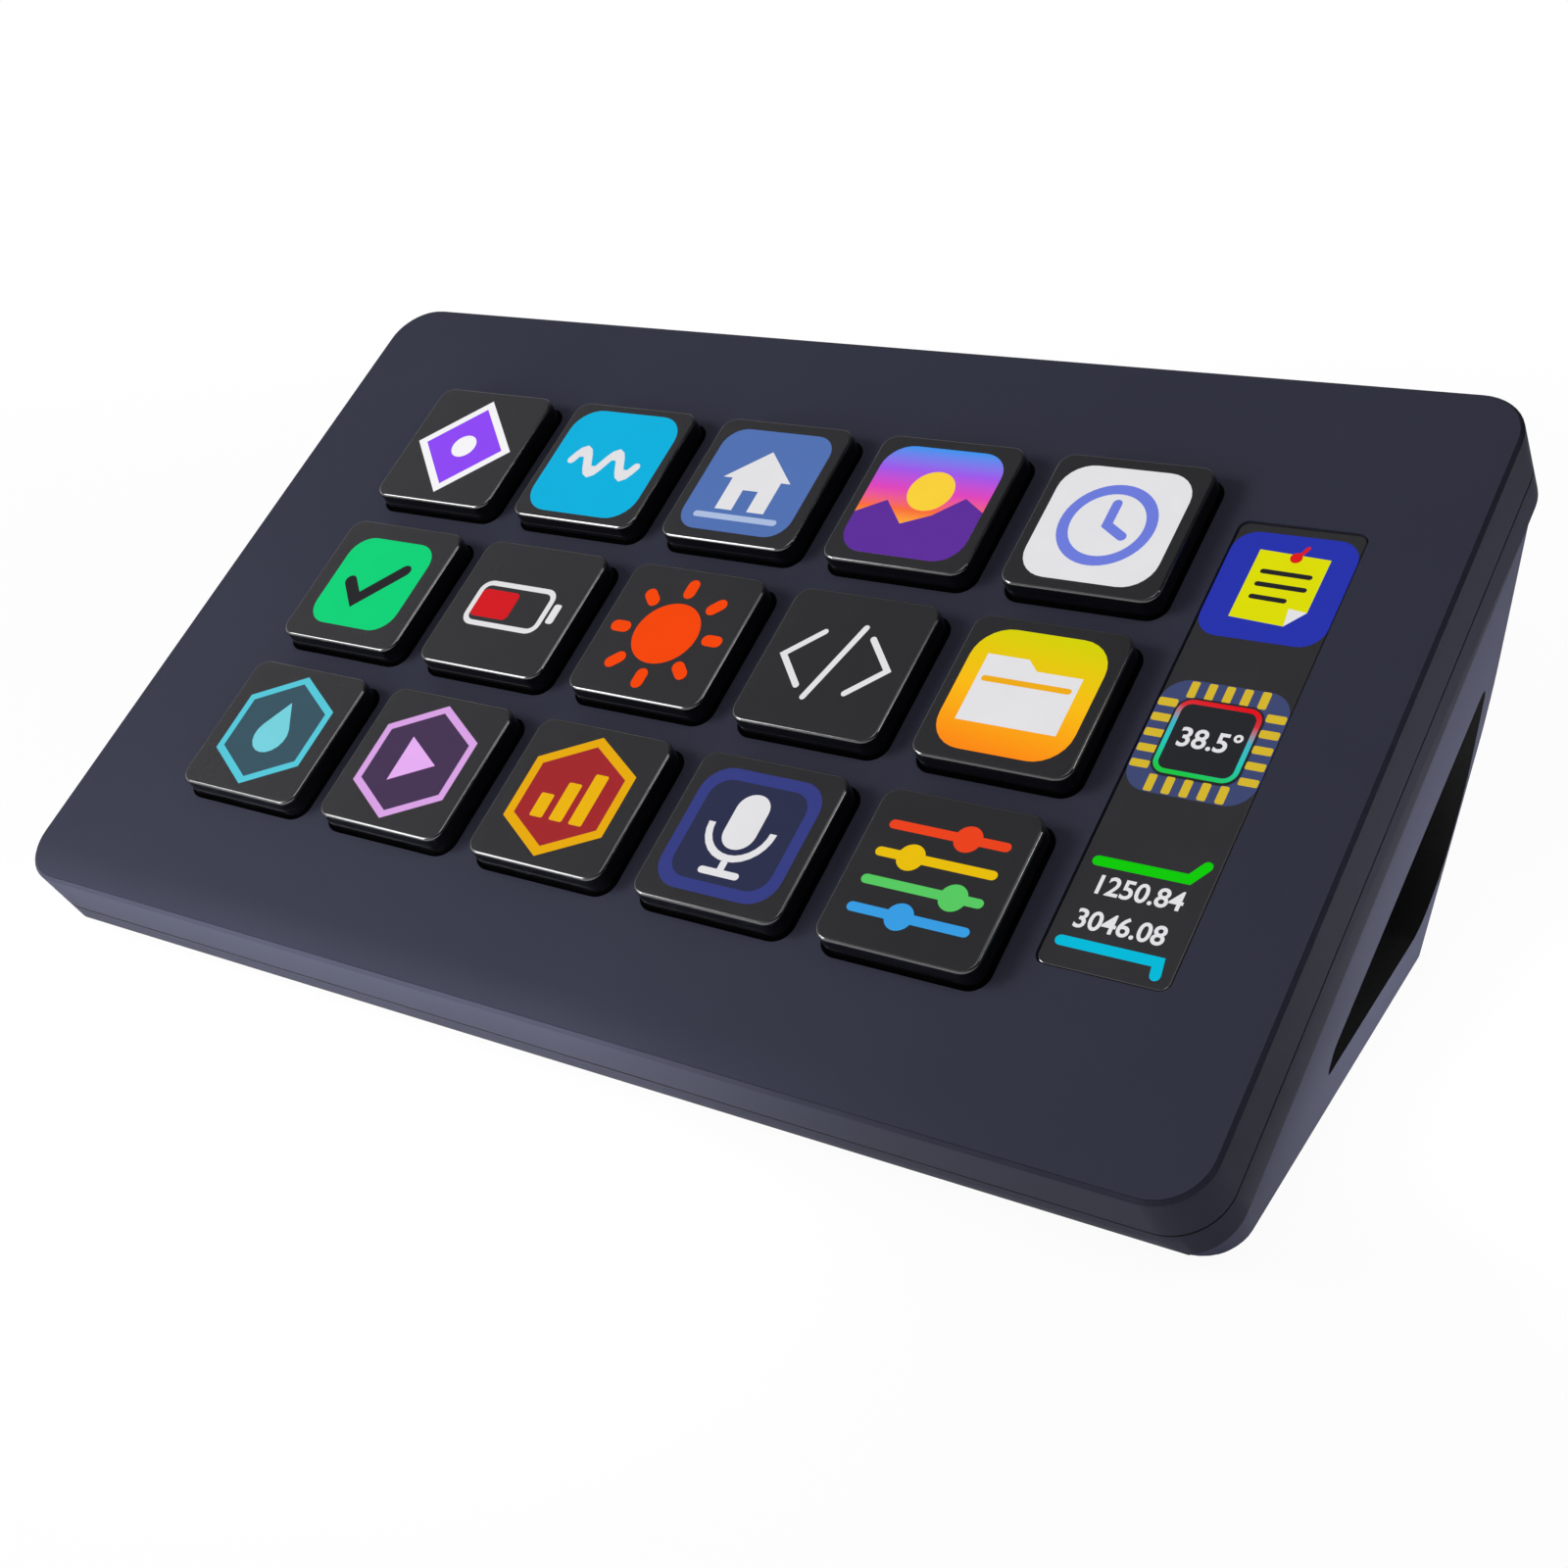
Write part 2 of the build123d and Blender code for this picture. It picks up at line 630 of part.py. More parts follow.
with BuildPart() as display_tray:
    with BuildSketch(below(panel_back)):
        with Locations((layer_shift, 0)):
            Rectangle(tray_inner_width + 2 * tray_wall, tray_inner_length + 2 * tray_wall)
        with GridLocations(2 * tray_screw_x, 2 * tray_screw_v, 2, 2):
            Rectangle(post_width, post_width)
    extrude(amount=-tray_thickness)
    with BuildSketch(below(panel_back)):
        with Locations((layer_shift, 0)):
            Rectangle(tray_inner_width + 2 * tray_wall, tray_inner_length + 2 * tray_wall)
            Rectangle(tray_inner_width, tray_inner_length, mode=Mode.SUBTRACT)
        with GridLocations(2 * tray_screw_x, 2 * tray_screw_v, 2, 2):
            Rectangle(
                post_width + 2 * screw_clearance, post_width + 2 * screw_clearance, mode=Mode.SUBTRACT
            )
        for ribbon_x, ribbon_width in ribbon_places:
            with Locations((ribbon_x, -half_length)):
                Rectangle(ribbon_width + 2 * hole_clearance, deck_length / 2, mode=Mode.SUBTRACT)
    extrude(amount=panel_back - clamp_depth - tray_wall_drop)
    with BuildSketch(below(panel_back)):
        with GridLocations(2 * tray_screw_x, 2 * tray_screw_v, 2, 2):
            Circle(screw_radius + screw_clearance)
    extrude(amount=-tray_thickness, mode=Mode.SUBTRACT)
display_tray.part.label = "display_tray"
export_step(display_tray.part, "parts/display_tray.step")

# ---- main board, its components, ribbons and socket -----------------------------------
with BuildPart() as main_board:
    with BuildSketch(below(board_depth)):
        with Locations((0, board_shift)):
            Rectangle(board_width, board_length)
            with GridLocations(board_hole_pitch_x, board_hole_pitch_v, 2, 2):
                Circle(screw_radius + screw_clearance, mode=Mode.SUBTRACT)
    extrude(amount=-board_thickness)
main_board.part.label = "main_board"
export_step(main_board.part, "parts/main_board.step")

board_front = board_shift - board_length / 2
connector_v = board_front + connector_inset + connector_length / 2
component_places = (
    (0.0, 2.2, 14.0, 14.0, 1.2),  # processor
    (19.0, 4.2, 10.0, 8.0, 1.0),  # memory
    (-20.0, 6.2, 8.0, 8.0, 1.0),  # display driver
    (-20.0, -5.8, 5.0, 5.0, 1.4),  # coil
    (20.0, -7.8, 3.2, 2.5, 0.9),  # crystal
    (-9.0, 16.2, 3.0, 3.0, 1.0),  # surge protector
    (9.0, 16.2, 4.0, 3.0, 1.0),  # regulator
)

with BuildPart() as board_components:
    for part_x, part_v, part_width, part_length, part_height in component_places:
        with BuildSketch(below(board_depth)):
            with Locations((part_x, board_shift + part_v)):
                Rectangle(part_width, part_length)
        extrude(amount=part_height)
    for ribbon_x, ribbon_width in ribbon_places:
        with BuildSketch(below(board_depth)):
            with Locations((ribbon_x, connector_v)):
                Rectangle(ribbon_width + 2 * connector_overhang, connector_length)
        extrude(amount=connector_height)
board_components.part.label = "board_components"
export_step(board_components.part, "parts/board_components.step")


def ribbon_path(start_depth):
    """Side line of a ribbon: out of a layer's front edge, down, and back to the board."""
    layer_front = -layer_length / 2
    turn = min(layer_front, board_front) - ribbon_lead
    end_depth = board_depth - connector_height / 2
    return [
        (layer_front, -start_depth),
        (turn, -start_depth),
        (turn, -end_depth),
        (connector_v - connector_length / 2, -end_depth),
    ]


with BuildPart() as display_ribbon:
    with BuildSketch(side_plane(display_ribbon_x)):
        with BuildLine() as display_ribbon_line:
            FilletPolyline(*ribbon_path(panel_depth + panel_thickness / 2), radius=ribbon_bend)
        trace(display_ribbon_line.edges(), ribbon_thickness)
    extrude(amount=display_ribbon_width / 2, both=True)
display_ribbon.part.label = "display_ribbon"
export_step(display_ribbon.part, "parts/display_ribbon.step")

with BuildPart() as circuit_ribbon:
    with BuildSketch(side_plane(circuit_ribbon_x)):
        with BuildLine() as circuit_ribbon_line:
            FilletPolyline(*ribbon_path(circuit_depth + circuit_thickness / 2), radius=ribbon_bend)
        trace(circuit_ribbon_line.edges(), ribbon_thickness)
    extrude(amount=circuit_ribbon_width / 2, both=True)
circuit_ribbon.part.label = "circuit_ribbon"
export_step(circuit_ribbon.part, "parts/circuit_ribbon.step")

with BuildPart() as socket_shell:
    with BuildSketch(socket_face.offset(-plug_pocket_depth)):
        SlotOverall(socket_width, socket_height)
    extrude(amount=-socket_length)
    with BuildSketch(socket_face.offset(-plug_pocket_depth)):
        SlotOverall(socket_width - 2 * socket_wall, socket_height - 2 * socket_wall)
    extrude(amount=socket_wall - socket_length, mode=Mode.SUBTRACT)
socket_shell.part.label = "socket_shell"
export_step(socket_shell.part, "parts/socket_shell.step")

with BuildPart() as socket_tongue:
    with BuildSketch(socket_face.offset(socket_wall - socket_length - plug_pocket_depth)):
        Rectangle(tongue_width, tongue_thickness)
    extrude(amount=tongue_length)
socket_tongue.part.label = "socket_tongue"
export_step(socket_tongue.part, "parts/socket_tongue.step")

# ---- fasteners ------------------------------------------------------------------------
with BuildPart() as tray_screws:
    with BuildSketch(below(panel_back + tray_thickness)):
        with GridLocations(2 * tray_screw_x, 2 * tray_screw_v, 2, 2):
            RegularPolygon(screw_head_radius, 6)
    extrude(amount=-screw_head_height)
    with BuildSketch(below(panel_back + tray_thickness)):
        with GridLocations(2 * tray_screw_x, 2 * tray_screw_v, 2, 2):
            Circle(screw_radius)
    extrude(amount=tray_screw_length)
tray_screws.part.label = "tray_screws"
export_step(tray_screws.part, "parts/tray_screws.step")

with BuildPart() as board_screws:
    with BuildSketch(below(board_depth)):
        with Locations((0, board_shift)):
            with GridLocations(board_hole_pitch_x, board_hole_pitch_v, 2, 2):
                RegularPolygon(screw_head_radius, 6)
    extrude(amount=screw_head_height)
    with BuildSketch(below(board_depth)):
        with Locations((0, board_shift)):
            with GridLocations(board_hole_pitch_x, board_hole_pitch_v, 2, 2):
                Circle(screw_radius)
    extrude(amount=-board_screw_length)
board_screws.part.label = "board_screws"
export_step(board_screws.part, "parts/board_screws.step")

with BuildPart() as case_screws:
    with BuildSketch(case_seat):
        with Locations((0, case_screw_v)):
            with GridLocations(2 * case_screw_x, 0, 2, 1):
                RegularPolygon(case_head_radius, 6)
    extrude(amount=-case_head_height)
    with BuildSketch(case_seat):
        with Locations((0, case_screw_v)):
            with GridLocations(2 * case_screw_x, 0, 2, 1):
                Circle(case_screw_radius)
    extrude(amount=case_screw_length)
case_screws.part.label = "case_screws"
export_step(case_screws.part, "parts/case_screws.step")

# ---- feet -----------------------------------------------------------------------------
for foot_name, foot_place in foot_places.items():
    with BuildPart() as foot:
        with BuildSketch(Plane.XY):
            with Locations(foot_place):
                SlotOverall(foot_width, foot_length)
        extrude(amount=foot_thickness)
    foot.part.label = foot_name
    export_step(foot.part, f"parts/{foot_name}.step")
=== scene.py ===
import math

import bmesh
import bpy
from mathutils import Matrix, Quaternion, Vector


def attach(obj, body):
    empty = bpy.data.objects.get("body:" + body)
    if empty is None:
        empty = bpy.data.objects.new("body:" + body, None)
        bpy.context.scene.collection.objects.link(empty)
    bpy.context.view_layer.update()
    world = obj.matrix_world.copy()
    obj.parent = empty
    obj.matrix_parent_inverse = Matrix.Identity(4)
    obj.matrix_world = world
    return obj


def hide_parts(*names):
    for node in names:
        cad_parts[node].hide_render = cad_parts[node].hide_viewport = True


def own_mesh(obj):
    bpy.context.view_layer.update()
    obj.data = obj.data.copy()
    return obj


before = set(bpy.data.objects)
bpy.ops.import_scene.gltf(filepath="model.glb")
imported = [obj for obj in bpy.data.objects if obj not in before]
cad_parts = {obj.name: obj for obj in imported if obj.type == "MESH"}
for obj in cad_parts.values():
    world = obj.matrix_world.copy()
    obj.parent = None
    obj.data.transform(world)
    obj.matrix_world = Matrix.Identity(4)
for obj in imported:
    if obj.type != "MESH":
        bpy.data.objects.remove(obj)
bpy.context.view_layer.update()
print("frame loaded,", len(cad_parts), "nodes")

mm = 0.001
scene = bpy.context.scene
scene.view_settings.view_transform = "Standard"

# the key deck: pieces are shaped flat on it in millimetres, x across, y up the slope, z out of it
deck = {"tilt": 38.0, "centre": (0.0, -6.806, 33.252), "width": 132.0, "length": 80.6}
deckTurn = math.radians(deck["tilt"])
deckPlace = (
    Matrix.Translation(Vector(deck["centre"]) * mm)
    @ Matrix.Rotation(deckTurn, 4, "X")
    @ Matrix.Scale(mm, 4)
)
deckOut = deckPlace.col[2].xyz.normalized()

# ---- camera
camera = {
    "place": (127.385, -175.461, 92.45),
    "aim": (7.794, -6.195, 21.562),
    "roll": -1.142,
    "lens": 53.42,
    "sensor": 36.0,
    "clip": 0.01,
}
cameraData = bpy.data.cameras.new("camera")
cameraData.lens = camera["lens"]
cameraData.sensor_width = camera["sensor"]
cameraData.clip_start = camera["clip"]
cameraObject = bpy.data.objects.new("camera", cameraData)
scene.collection.objects.link(cameraObject)
cameraView = Vector(camera["aim"]) - Vector(camera["place"])
cameraObject.location = Vector(camera["place"]) * mm
cameraObject.rotation_mode = "QUATERNION"
cameraObject.rotation_quaternion = cameraView.to_track_quat("-Z", "Y") @ Quaternion(
    (0, 0, 1), math.radians(camera["roll"])
)
scene.camera = cameraObject
print("camera set")


# ---- working with nodes
class Wire:
    # an output socket that can be used in sums
    def __init__(self, finish, socket):
        self.finish, self.socket = finish, socket

    def sum(self, operation, *others):
        node = self.finish.tree.nodes.new("ShaderNodeMath")
        node.operation = operation
        for slot, value in zip(node.inputs, others):
            self.finish.plug(slot, value)
        return Wire(self.finish, node.outputs[0])

    def __add__(self, other):
        return self.sum("ADD", self, other)

    def __radd__(self, other):
        return self.sum("ADD", other, self)

    def __sub__(self, other):
        return self.sum("SUBTRACT", self, other)

    def __rsub__(self, other):
        return self.sum("SUBTRACT", other, self)

    def __mul__(self, other):
        return self.sum("MULTIPLY", self, other)

    def __rmul__(self, other):
        return self.sum("MULTIPLY", other, self)

    def __truediv__(self, other):
        return self.sum("DIVIDE", self, other)

    def __gt__(self, other):
        return self.sum("GREATER_THAN", self, other)

    def fraction(self):
        return self.sum("FRACT", self)

    def clamped(self):
        result = self.sum("ADD", self, 0.0)
        result.socket.node.use_clamp = True
        return result


class Graph:
    # a node tree that is put together from numbers and wires
    def __init__(self, tree):
        self.tree = tree

    def plug(self, socket, value):
        if isinstance(value, Wire):
            self.tree.links.new(value.socket, socket)
        else:
            socket.default_value = value

    def node(self, kind, settings=None, values=None, output=0):
        made = self.tree.nodes.new(kind)
        for key, value in (settings or {}).items():
            if key == "stops":
                ramp = made.color_ramp
                while len(ramp.elements) < len(value):
                    ramp.elements.new(0.5)
                for element, (place, colour) in zip(ramp.elements, value):
                    element.position, element.color = place, colour
            else:
                setattr(made, key, value)
        for key, value in (values or {}).items():
            self.plug(made.inputs[key], value)
        return Wire(self, made.outputs[output])

    def axis(self, vector, name):
        return self.node("ShaderNodeSeparateXYZ", None, {0: vector}, name)

    def blend(self, factor, first, second):
        return self.node(
            "ShaderNodeMix", {"data_type": "RGBA"}, {0: factor, 6: first, 7: second}, 2
        )

    def seen(self):
        # 1 where the camera, a reflection or clear plastic looks at it
        path = self.node("ShaderNodeLightPath", output="Is Camera Ray")
        outputs = path.socket.node.outputs
        return (
            path + Wire(self, outputs["Is Glossy Ray"]) + Wire(self, outputs["Is Transmission Ray"])
        ).clamped()


class Finish(Graph):
    # one material and its nodes
    def __init__(self, name):
        self.material = bpy.data.materials.new(name)
        self.material.use_nodes = True
        super().__init__(self.material.node_tree)
        self.shader = self.tree.nodes["Principled BSDF"]

    def surface(self, values):
        for key, value in values.items():
            self.plug(self.shader.inputs[key], value)
        return self.material

    def place(self):
        return self.node("ShaderNodeTexCoord", output="Object")

    def deckCoordinates(self):
        # millimetres on the key deck
        return self.node(
            "ShaderNodeMapping",
            {"vector_type": "TEXTURE"},
            {
                "Vector": self.place(),
                "Location": Vector(deck["centre"]) * mm,
                "Rotation": (deckTurn, 0.0, 0.0),
                "Scale": (mm, mm, mm),
            },
        )

    def noise(self, size, detail=3.0, roughness=0.5):
        # size of the pattern's grains in millimetres
        return self.node(
            "ShaderNodeTexNoise",
            None,
            {
                "Vector": self.place(),
                "Scale": 1.0 / (size * mm),
                "Detail": detail,
                "Roughness": roughness,
            },
        )

    def bump(self, height, strength, distance):
        return self.node(
            "ShaderNodeBump",
            None,
            {"Height": height, "Strength": strength, "Distance": distance * mm},
        )


def toned(red, green, blue):
    # screen colour 0-255 to the linear colour of a socket
    return tuple(
        (c / 12.92 if c <= 0.04045 else ((c + 0.055) / 1.055) ** 2.4)
        for c in (red / 255, green / 255, blue / 255)
    ) + (1.0,)


# ---- shaping helpers
def onlyThis(piece):
    if bpy.context.object and bpy.context.object.mode != "OBJECT":
        bpy.ops.object.mode_set(mode="OBJECT")
    bpy.ops.object.select_all(action="DESELECT")
    piece.select_set(True)
    bpy.context.view_layer.objects.active = piece


def picked(kind, test):
    # selects the faces or edges of the piece in edit mode that pass the test
    mesh = bmesh.from_edit_mesh(bpy.context.object.data)
    bpy.ops.mesh.select_all(action="DESELECT")
    bpy.ops.mesh.select_mode(type="FACE" if kind == "faces" else "EDGE")
    for item in getattr(mesh, kind):
        if test(item):
            item.select_set(True)
    bmesh.update_edit_mesh(bpy.context.object.data)


def upright(edge):
    return abs((edge.verts[0].co - edge.verts[1].co).normalized().z) > 0.99


def roundedSlab(name, width, length, low, high, corner, steps=6, x=0.0, y=0.0):
    bpy.ops.object.select_all(action="DESELECT")
    bpy.ops.mesh.primitive_cube_add(size=1.0, location=(x, y, (low + high) / 2))
    piece = bpy.context.object
    piece.name = piece.data.name = name
    piece.scale = (width, length, high - low)
    bpy.ops.object.transform_apply(location=True, rotation=True, scale=True)
    if corner:
        bpy.ops.object.mode_set(mode="EDIT")
        picked("edges", upright)
        bpy.ops.mesh.bevel(offset=corner, segments=steps, affect="EDGES")
        bpy.ops.object.mode_set(mode="OBJECT")
    return piece


def softenTop(piece, width, steps=3):
    onlyThis(piece)
    bpy.ops.object.mode_set(mode="EDIT")
    picked("faces", lambda face: face.normal.z > 0.9)
    bpy.ops.mesh.bevel(offset=width, segments=steps, affect="EDGES")
    bpy.ops.object.mode_set(mode="OBJECT")


def cut(piece, tool, operation="DIFFERENCE"):
    onlyThis(piece)
    modifier = piece.modifiers.new("cut", "BOOLEAN")
    modifier.operation = operation
    modifier.object = tool
    modifier.solver = "EXACT"
    bpy.ops.object.modifier_apply(modifier=modifier.name)
    bpy.data.objects.remove(tool)


def roundEdges(piece, width, steps=2, angle=35.0):
    onlyThis(piece)
    modifier = piece.modifiers.new("edges", "BEVEL")
    modifier.width = width
    modifier.segments = steps
    modifier.limit_method = "ANGLE"
    modifier.angle_limit = math.radians(angle)
    bpy.ops.object.modifier_apply(modifier=modifier.name)


def evenShading(piece, angle=32.0):
    # round edges shade smoothly and the flat faces between them stay flat
    onlyThis(piece)
    bpy.ops.object.shade_smooth_by_angle(angle=math.radians(angle))
    modifier = piece.modifiers.new("shading", "WEIGHTED_NORMAL")
    modifier.mode = "FACE_AREA"
    modifier.weight = 80
    modifier.keep_sharp = True
    bpy.ops.object.modifier_apply(modifier=modifier.name)


def settle(piece, body, finish, smooth=True):
    # from the flat drawing to its place on the deck, in metres, as a finished piece
    onlyThis(piece)
    piece.matrix_world = deckPlace @ piece.matrix_world
    bpy.ops.object.transform_apply(location=True, rotation=True, scale=True)
    if smooth:
        evenShading(piece)
    if finish:
        piece.data.materials.clear()
        piece.data.materials.append(finish)
    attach(piece, body)
    return piece


def copyTo(piece, name, x, y):
    twin = bpy.data.objects.new(name, piece.data.copy())
    twin.data.name = name
    scene.collection.objects.link(twin)
    twin.location = (x, y, 0.0)
    return twin


# ---- finishes
housingLook = {
    "base": toned(49, 50, 63),
    "tint": toned(56, 57, 70),
    # painted light: paler tones for the stand under the crease, where the floor's light falls
    "wedgeLitBase": toned(70, 72, 93),
    "wedgeLitTint": toned(77, 79, 102),
    "crease": 8.6,
    "rough": 0.55,
    "roughSpread": 0.12,
    "grain": 0.16,
    "bump": 0.22,
    "depth": 0.02,
    "cloud": 26.0,
    "cloudShare": 0.7,
    "cloudSpread": 0.05,
    "creaseBlur": 4.0,
    "specular": 0.02,
    "sheen": (0.7, 0.76, 1.0, 1.0),
}


def mouldedFinish(name, look, wedge):
    # satin moulded plastic: two close tones, fine grain, slightly uneven polish
    finish = Finish(name)
    cloud = finish.noise(look["cloud"], 2.0)
    fine = finish.noise(look["grain"], 4.0, 0.6)
    tone = (cloud * look["cloudShare"] + fine * (1.0 - look["cloudShare"])).clamped()
    colour = finish.blend(tone, look["base"], look["tint"])
    if wedge:
        # painted light: the drafted stand under the crease is painted paler, standing in for the
        # floor's light on its downward-facing sides
        depth = finish.axis(finish.deckCoordinates(), "Z") * -1.0
        below = ((depth - look["crease"]) * look["creaseBlur"]).clamped()
        pale = finish.blend(tone, look["wedgeLitBase"], look["wedgeLitTint"])
        colour = finish.blend(below, colour, pale)
    uneven = (fine - 0.5) * look["roughSpread"] + (cloud - 0.5) * look["cloudSpread"]
    finish.surface(
        {
            "Base Color": colour,
            "Roughness": look["rough"] + uneven,
            "Normal": finish.bump(fine, look["bump"], look["depth"]),
            "Specular IOR Level": look["specular"],
            "Specular Tint": look["sheen"],
        }
    )
    return finish.material


def plainFinish(name, base, tint, rough, metallic=0.0, size=1.2, depth=0.02):
    finish = Finish(name)
    cloud = finish.noise(size * 8, 2.0)
    fine = finish.noise(size, 4.0)
    finish.surface(
        {
            "Base Color": finish.blend((cloud * 0.5 + fine * 0.5).clamped(), base, tint),
            "Roughness": rough + (fine - 0.5) * 0.2,
            "Metallic": metallic,
            "Normal": finish.bump(fine, 0.3, depth),
        }
    )
    return finish.material


coverFinish = mouldedFinish("coverSlate", housingLook, False)
shellFinish = mouldedFinish("standSlate", housingLook, True)
# painted shade: near-black for the tunnel, the seam and the faces under the cover
tunnelShadeFinish = plainFinish("tunnelShadeBlack", toned(9, 10, 11), toned(14, 15, 16), 0.75, size=0.5)

glossLooks = {
    "blackGloss": {
        "base": toned(6, 6, 8),
        "tint": toned(10, 10, 12),
        "rough": 0.2,
        "specular": 0.4,
    },
    "keyFace": {
        "base": toned(34, 34, 35),
        "tint": toned(39, 39, 40),
        "rough": 0.16,
        "specular": 0.4,
    },
    "stripFace": {
        "base": toned(42, 42, 44),
        "tint": toned(47, 47, 49),
        "rough": 0.2,
        "specular": 0.35,
    },
    "brightEdge": {
        "base": toned(8, 8, 10),
        "tint": toned(14, 14, 16),
        "rough": 0.12,
        "specular": 1.0,
        "coat": 1.0,
    },
}
marks = {
    "film": 4.0,
    "speck": 0.3,
    "filmShare": 0.8,
    "filmFrom": 0.45,
    "filmRough": 0.14,
    "bump": 0.04,
    "depth": 0.004,
    "coatRough": 0.1,
}


def glossFinish(name, blackBelow=None):
    # polished plastic with a faint film of handling marks, black at the sides of a face
    look = glossLooks[name]
    finish = Finish(name)
    film = finish.noise(marks["film"], 5.0, 0.55)
    speck = finish.noise(marks["speck"], 2.0)
    share = (film * marks["filmShare"] + speck * (1.0 - marks["filmShare"])).clamped()
    colour = finish.blend(share, look["base"], look["tint"])
    if blackBelow:
        top = finish.axis(finish.deckCoordinates(), "Z") > blackBelow
        colour = finish.blend(top, glossLooks["blackGloss"]["base"], colour)
    finish.surface(
        {
            "Base Color": colour,
            "Roughness": look["rough"] + (film - marks["filmFrom"]).clamped() * marks["filmRough"],
            "Normal": finish.bump(speck, marks["bump"], marks["depth"]),
            "Specular IOR Level": look["specular"],
            "Coat Weight": look.get("coat", 0.0),
            "Coat Roughness": marks["coatRough"],
        }
    )
    return finish.material


frameFinish = glossFinish("blackGloss")
lensFinish = glossFinish("keyFace", blackBelow=2.2)
windowFinish = glossFinish("stripFace")
edgeFinish = glossFinish("brightEdge")
# painted shade: a near-black finish for the bevel along the deck's front edge
frontEdgeShadeFinish = mouldedFinish(
    "coverEdge", {**housingLook, "base": toned(8, 9, 16), "tint": toned(12, 13, 20)}, False
)

screen = {
    "pitch": 0.21,
    "gridFrom": 0.88,
    "gridDepth": 0.05,
    "glow": 0.93,
    "body": 0.06,
    "shine": 0.06,
    "rough": 0.2,
    "roughSpread": 0.08,
    "cloud": 4.0,
    "toneSize": 3.0,
    "toneDip": 0.93,
}


def pixelShade(finish):
    # faint grid between a display's pixels
    spot = finish.deckCoordinates()
    rows = (finish.axis(spot, "Y") / screen["pitch"]).fraction()
    columns = (finish.axis(spot, "X") / screen["pitch"]).fraction()
    lines = ((rows > screen["gridFrom"]) + (columns > screen["gridFrom"])).clamped()
    return 1.0 - lines * screen["gridDepth"]


def litFinish(name, colourOf):
    # a lit display picture under a clear gloss
    finish = Finish(name)
    colour = colourOf(finish)
    black = (0.0, 0.0, 0.0, 1.0)
    dimmed = finish.blend(pixelShade(finish), black, colour)
    finish.surface(
        {
            "Base Color": finish.blend(screen["body"], black, dimmed),
            "Emission Color": dimmed,
            "Emission Strength": screen["glow"],
            "Roughness": screen["rough"]
            + finish.noise(screen["cloud"], 4.0) * screen["roughSpread"],
            "Specular IOR Level": screen["shine"],
        }
    )
    return finish.material


litFinishes = {}


def lit(red, green, blue):
    # one finish per picture colour, made when first used
    key = f"lit{red:03d}{green:03d}{blue:03d}"
    if key not in litFinishes:
        plain = toned(red, green, blue)
        deep = tuple(c * screen["toneDip"] for c in plain[:3]) + (1.0,)
        litFinishes[key] = litFinish(
            key, lambda finish: finish.blend(finish.noise(screen["toneSize"]), deep, plain)
        )
    return litFinishes[key]


def litGradient(name, stops, centre, direction, reach):
    # a picture colour that runs from tone to tone across a tile on the deck
    def colourOf(finish):
        spot = finish.deckCoordinates()
        along = (finish.axis(spot, "X") - centre[0]) * direction[0] + (
            finish.axis(spot, "Y") - centre[1]
        ) * direction[1]
        share = (along / (2.0 * reach) + 0.5).clamped()
        return finish.node("ShaderNodeValToRGB", {"stops": stops}, {"Fac": share})

    return litFinish(name, colourOf)


print("finishes ready")

# ---- housing: the CAD shapes with their small edges rounded


def refinish(piece, finish, test):
    # another finish for the faces whose centre and normal, seen on the deck, pass the test
    toDeck = deckPlace.inverted()
    turn = Matrix.Rotation(-deckTurn, 3, "X")
    piece.data.materials.append(finish)
    for polygon in piece.data.polygons:
        if test(toDeck @ polygon.center, turn @ polygon.normal):
            polygon.material_index = len(piece.data.materials) - 1


housing = {
    "coverEdge": 0.12,
    "coverChamfer": 0.35,
    "chamferReach": 1.2,
    "chamferRise": (0.05, 0.97),
    "shellEdge": 0.16,
    "merge": 2e-6,
    "flat": 0.4,
}


def shadeAsSide(piece, chamfer):
    # the narrow chamfer round the deck shades like the wall below it
    normals = [corner.vector.copy() for corner in piece.data.corner_normals]
    toDeck = deckPlace.inverted()
    lowest, highest = housing["chamferRise"]
    for polygon in piece.data.polygons:
        shallow = (toDeck @ polygon.center).z > -housing["chamferReach"] * chamfer
        rise = polygon.normal.dot(deckOut)
        if shallow and lowest < rise < highest:
            for corner in polygon.loop_indices:
                normals[corner] = (polygon.normal - deckOut * rise).normalized()
    piece.data.normals_split_custom_set(normals)


def softCopy(node, name, edge, finish, chamfer=0.0):
    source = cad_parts[node]
    piece = bpy.data.objects.new(name, source.data.copy())
    piece.data.name = name
    scene.collection.objects.link(piece)
    onlyThis(piece)
    bpy.ops.object.mode_set(mode="EDIT")
    bpy.ops.mesh.select_all(action="SELECT")
    bpy.ops.mesh.remove_doubles(threshold=housing["merge"])
    bpy.ops.mesh.dissolve_limited(angle_limit=math.radians(housing["flat"]))
    bpy.ops.object.mode_set(mode="OBJECT")
    if edge:
        roundEdges(piece, edge * mm)
    evenShading(piece)
    if chamfer:
        shadeAsSide(piece, chamfer)
    piece.data.materials.clear()
    piece.data.materials.append(finish)
    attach(piece, "housing")
    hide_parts(node)
    return piece


cover = softCopy(
    "top_cover", "coverPlate", housing["coverEdge"], coverFinish, housing["coverChamfer"]
)
shell = softCopy("lower_shell", "standShell", housing["shellEdge"], shellFinish)

# painted shade: a dark line is painted along the deck's front edge, and the seam, where no light
# gets in, and the faces under the cover are painted black
seam = {
    "corner": 5.0,
    "rim": 0.2,
    "rimRise": (0.75, 0.995),
    "rimFront": -0.05,
    "rimInside": 1.0,
    "depth": 6.0,
    "inside": 0.1,
    "lean": 0.2,
    "skirt": 1.0,
}


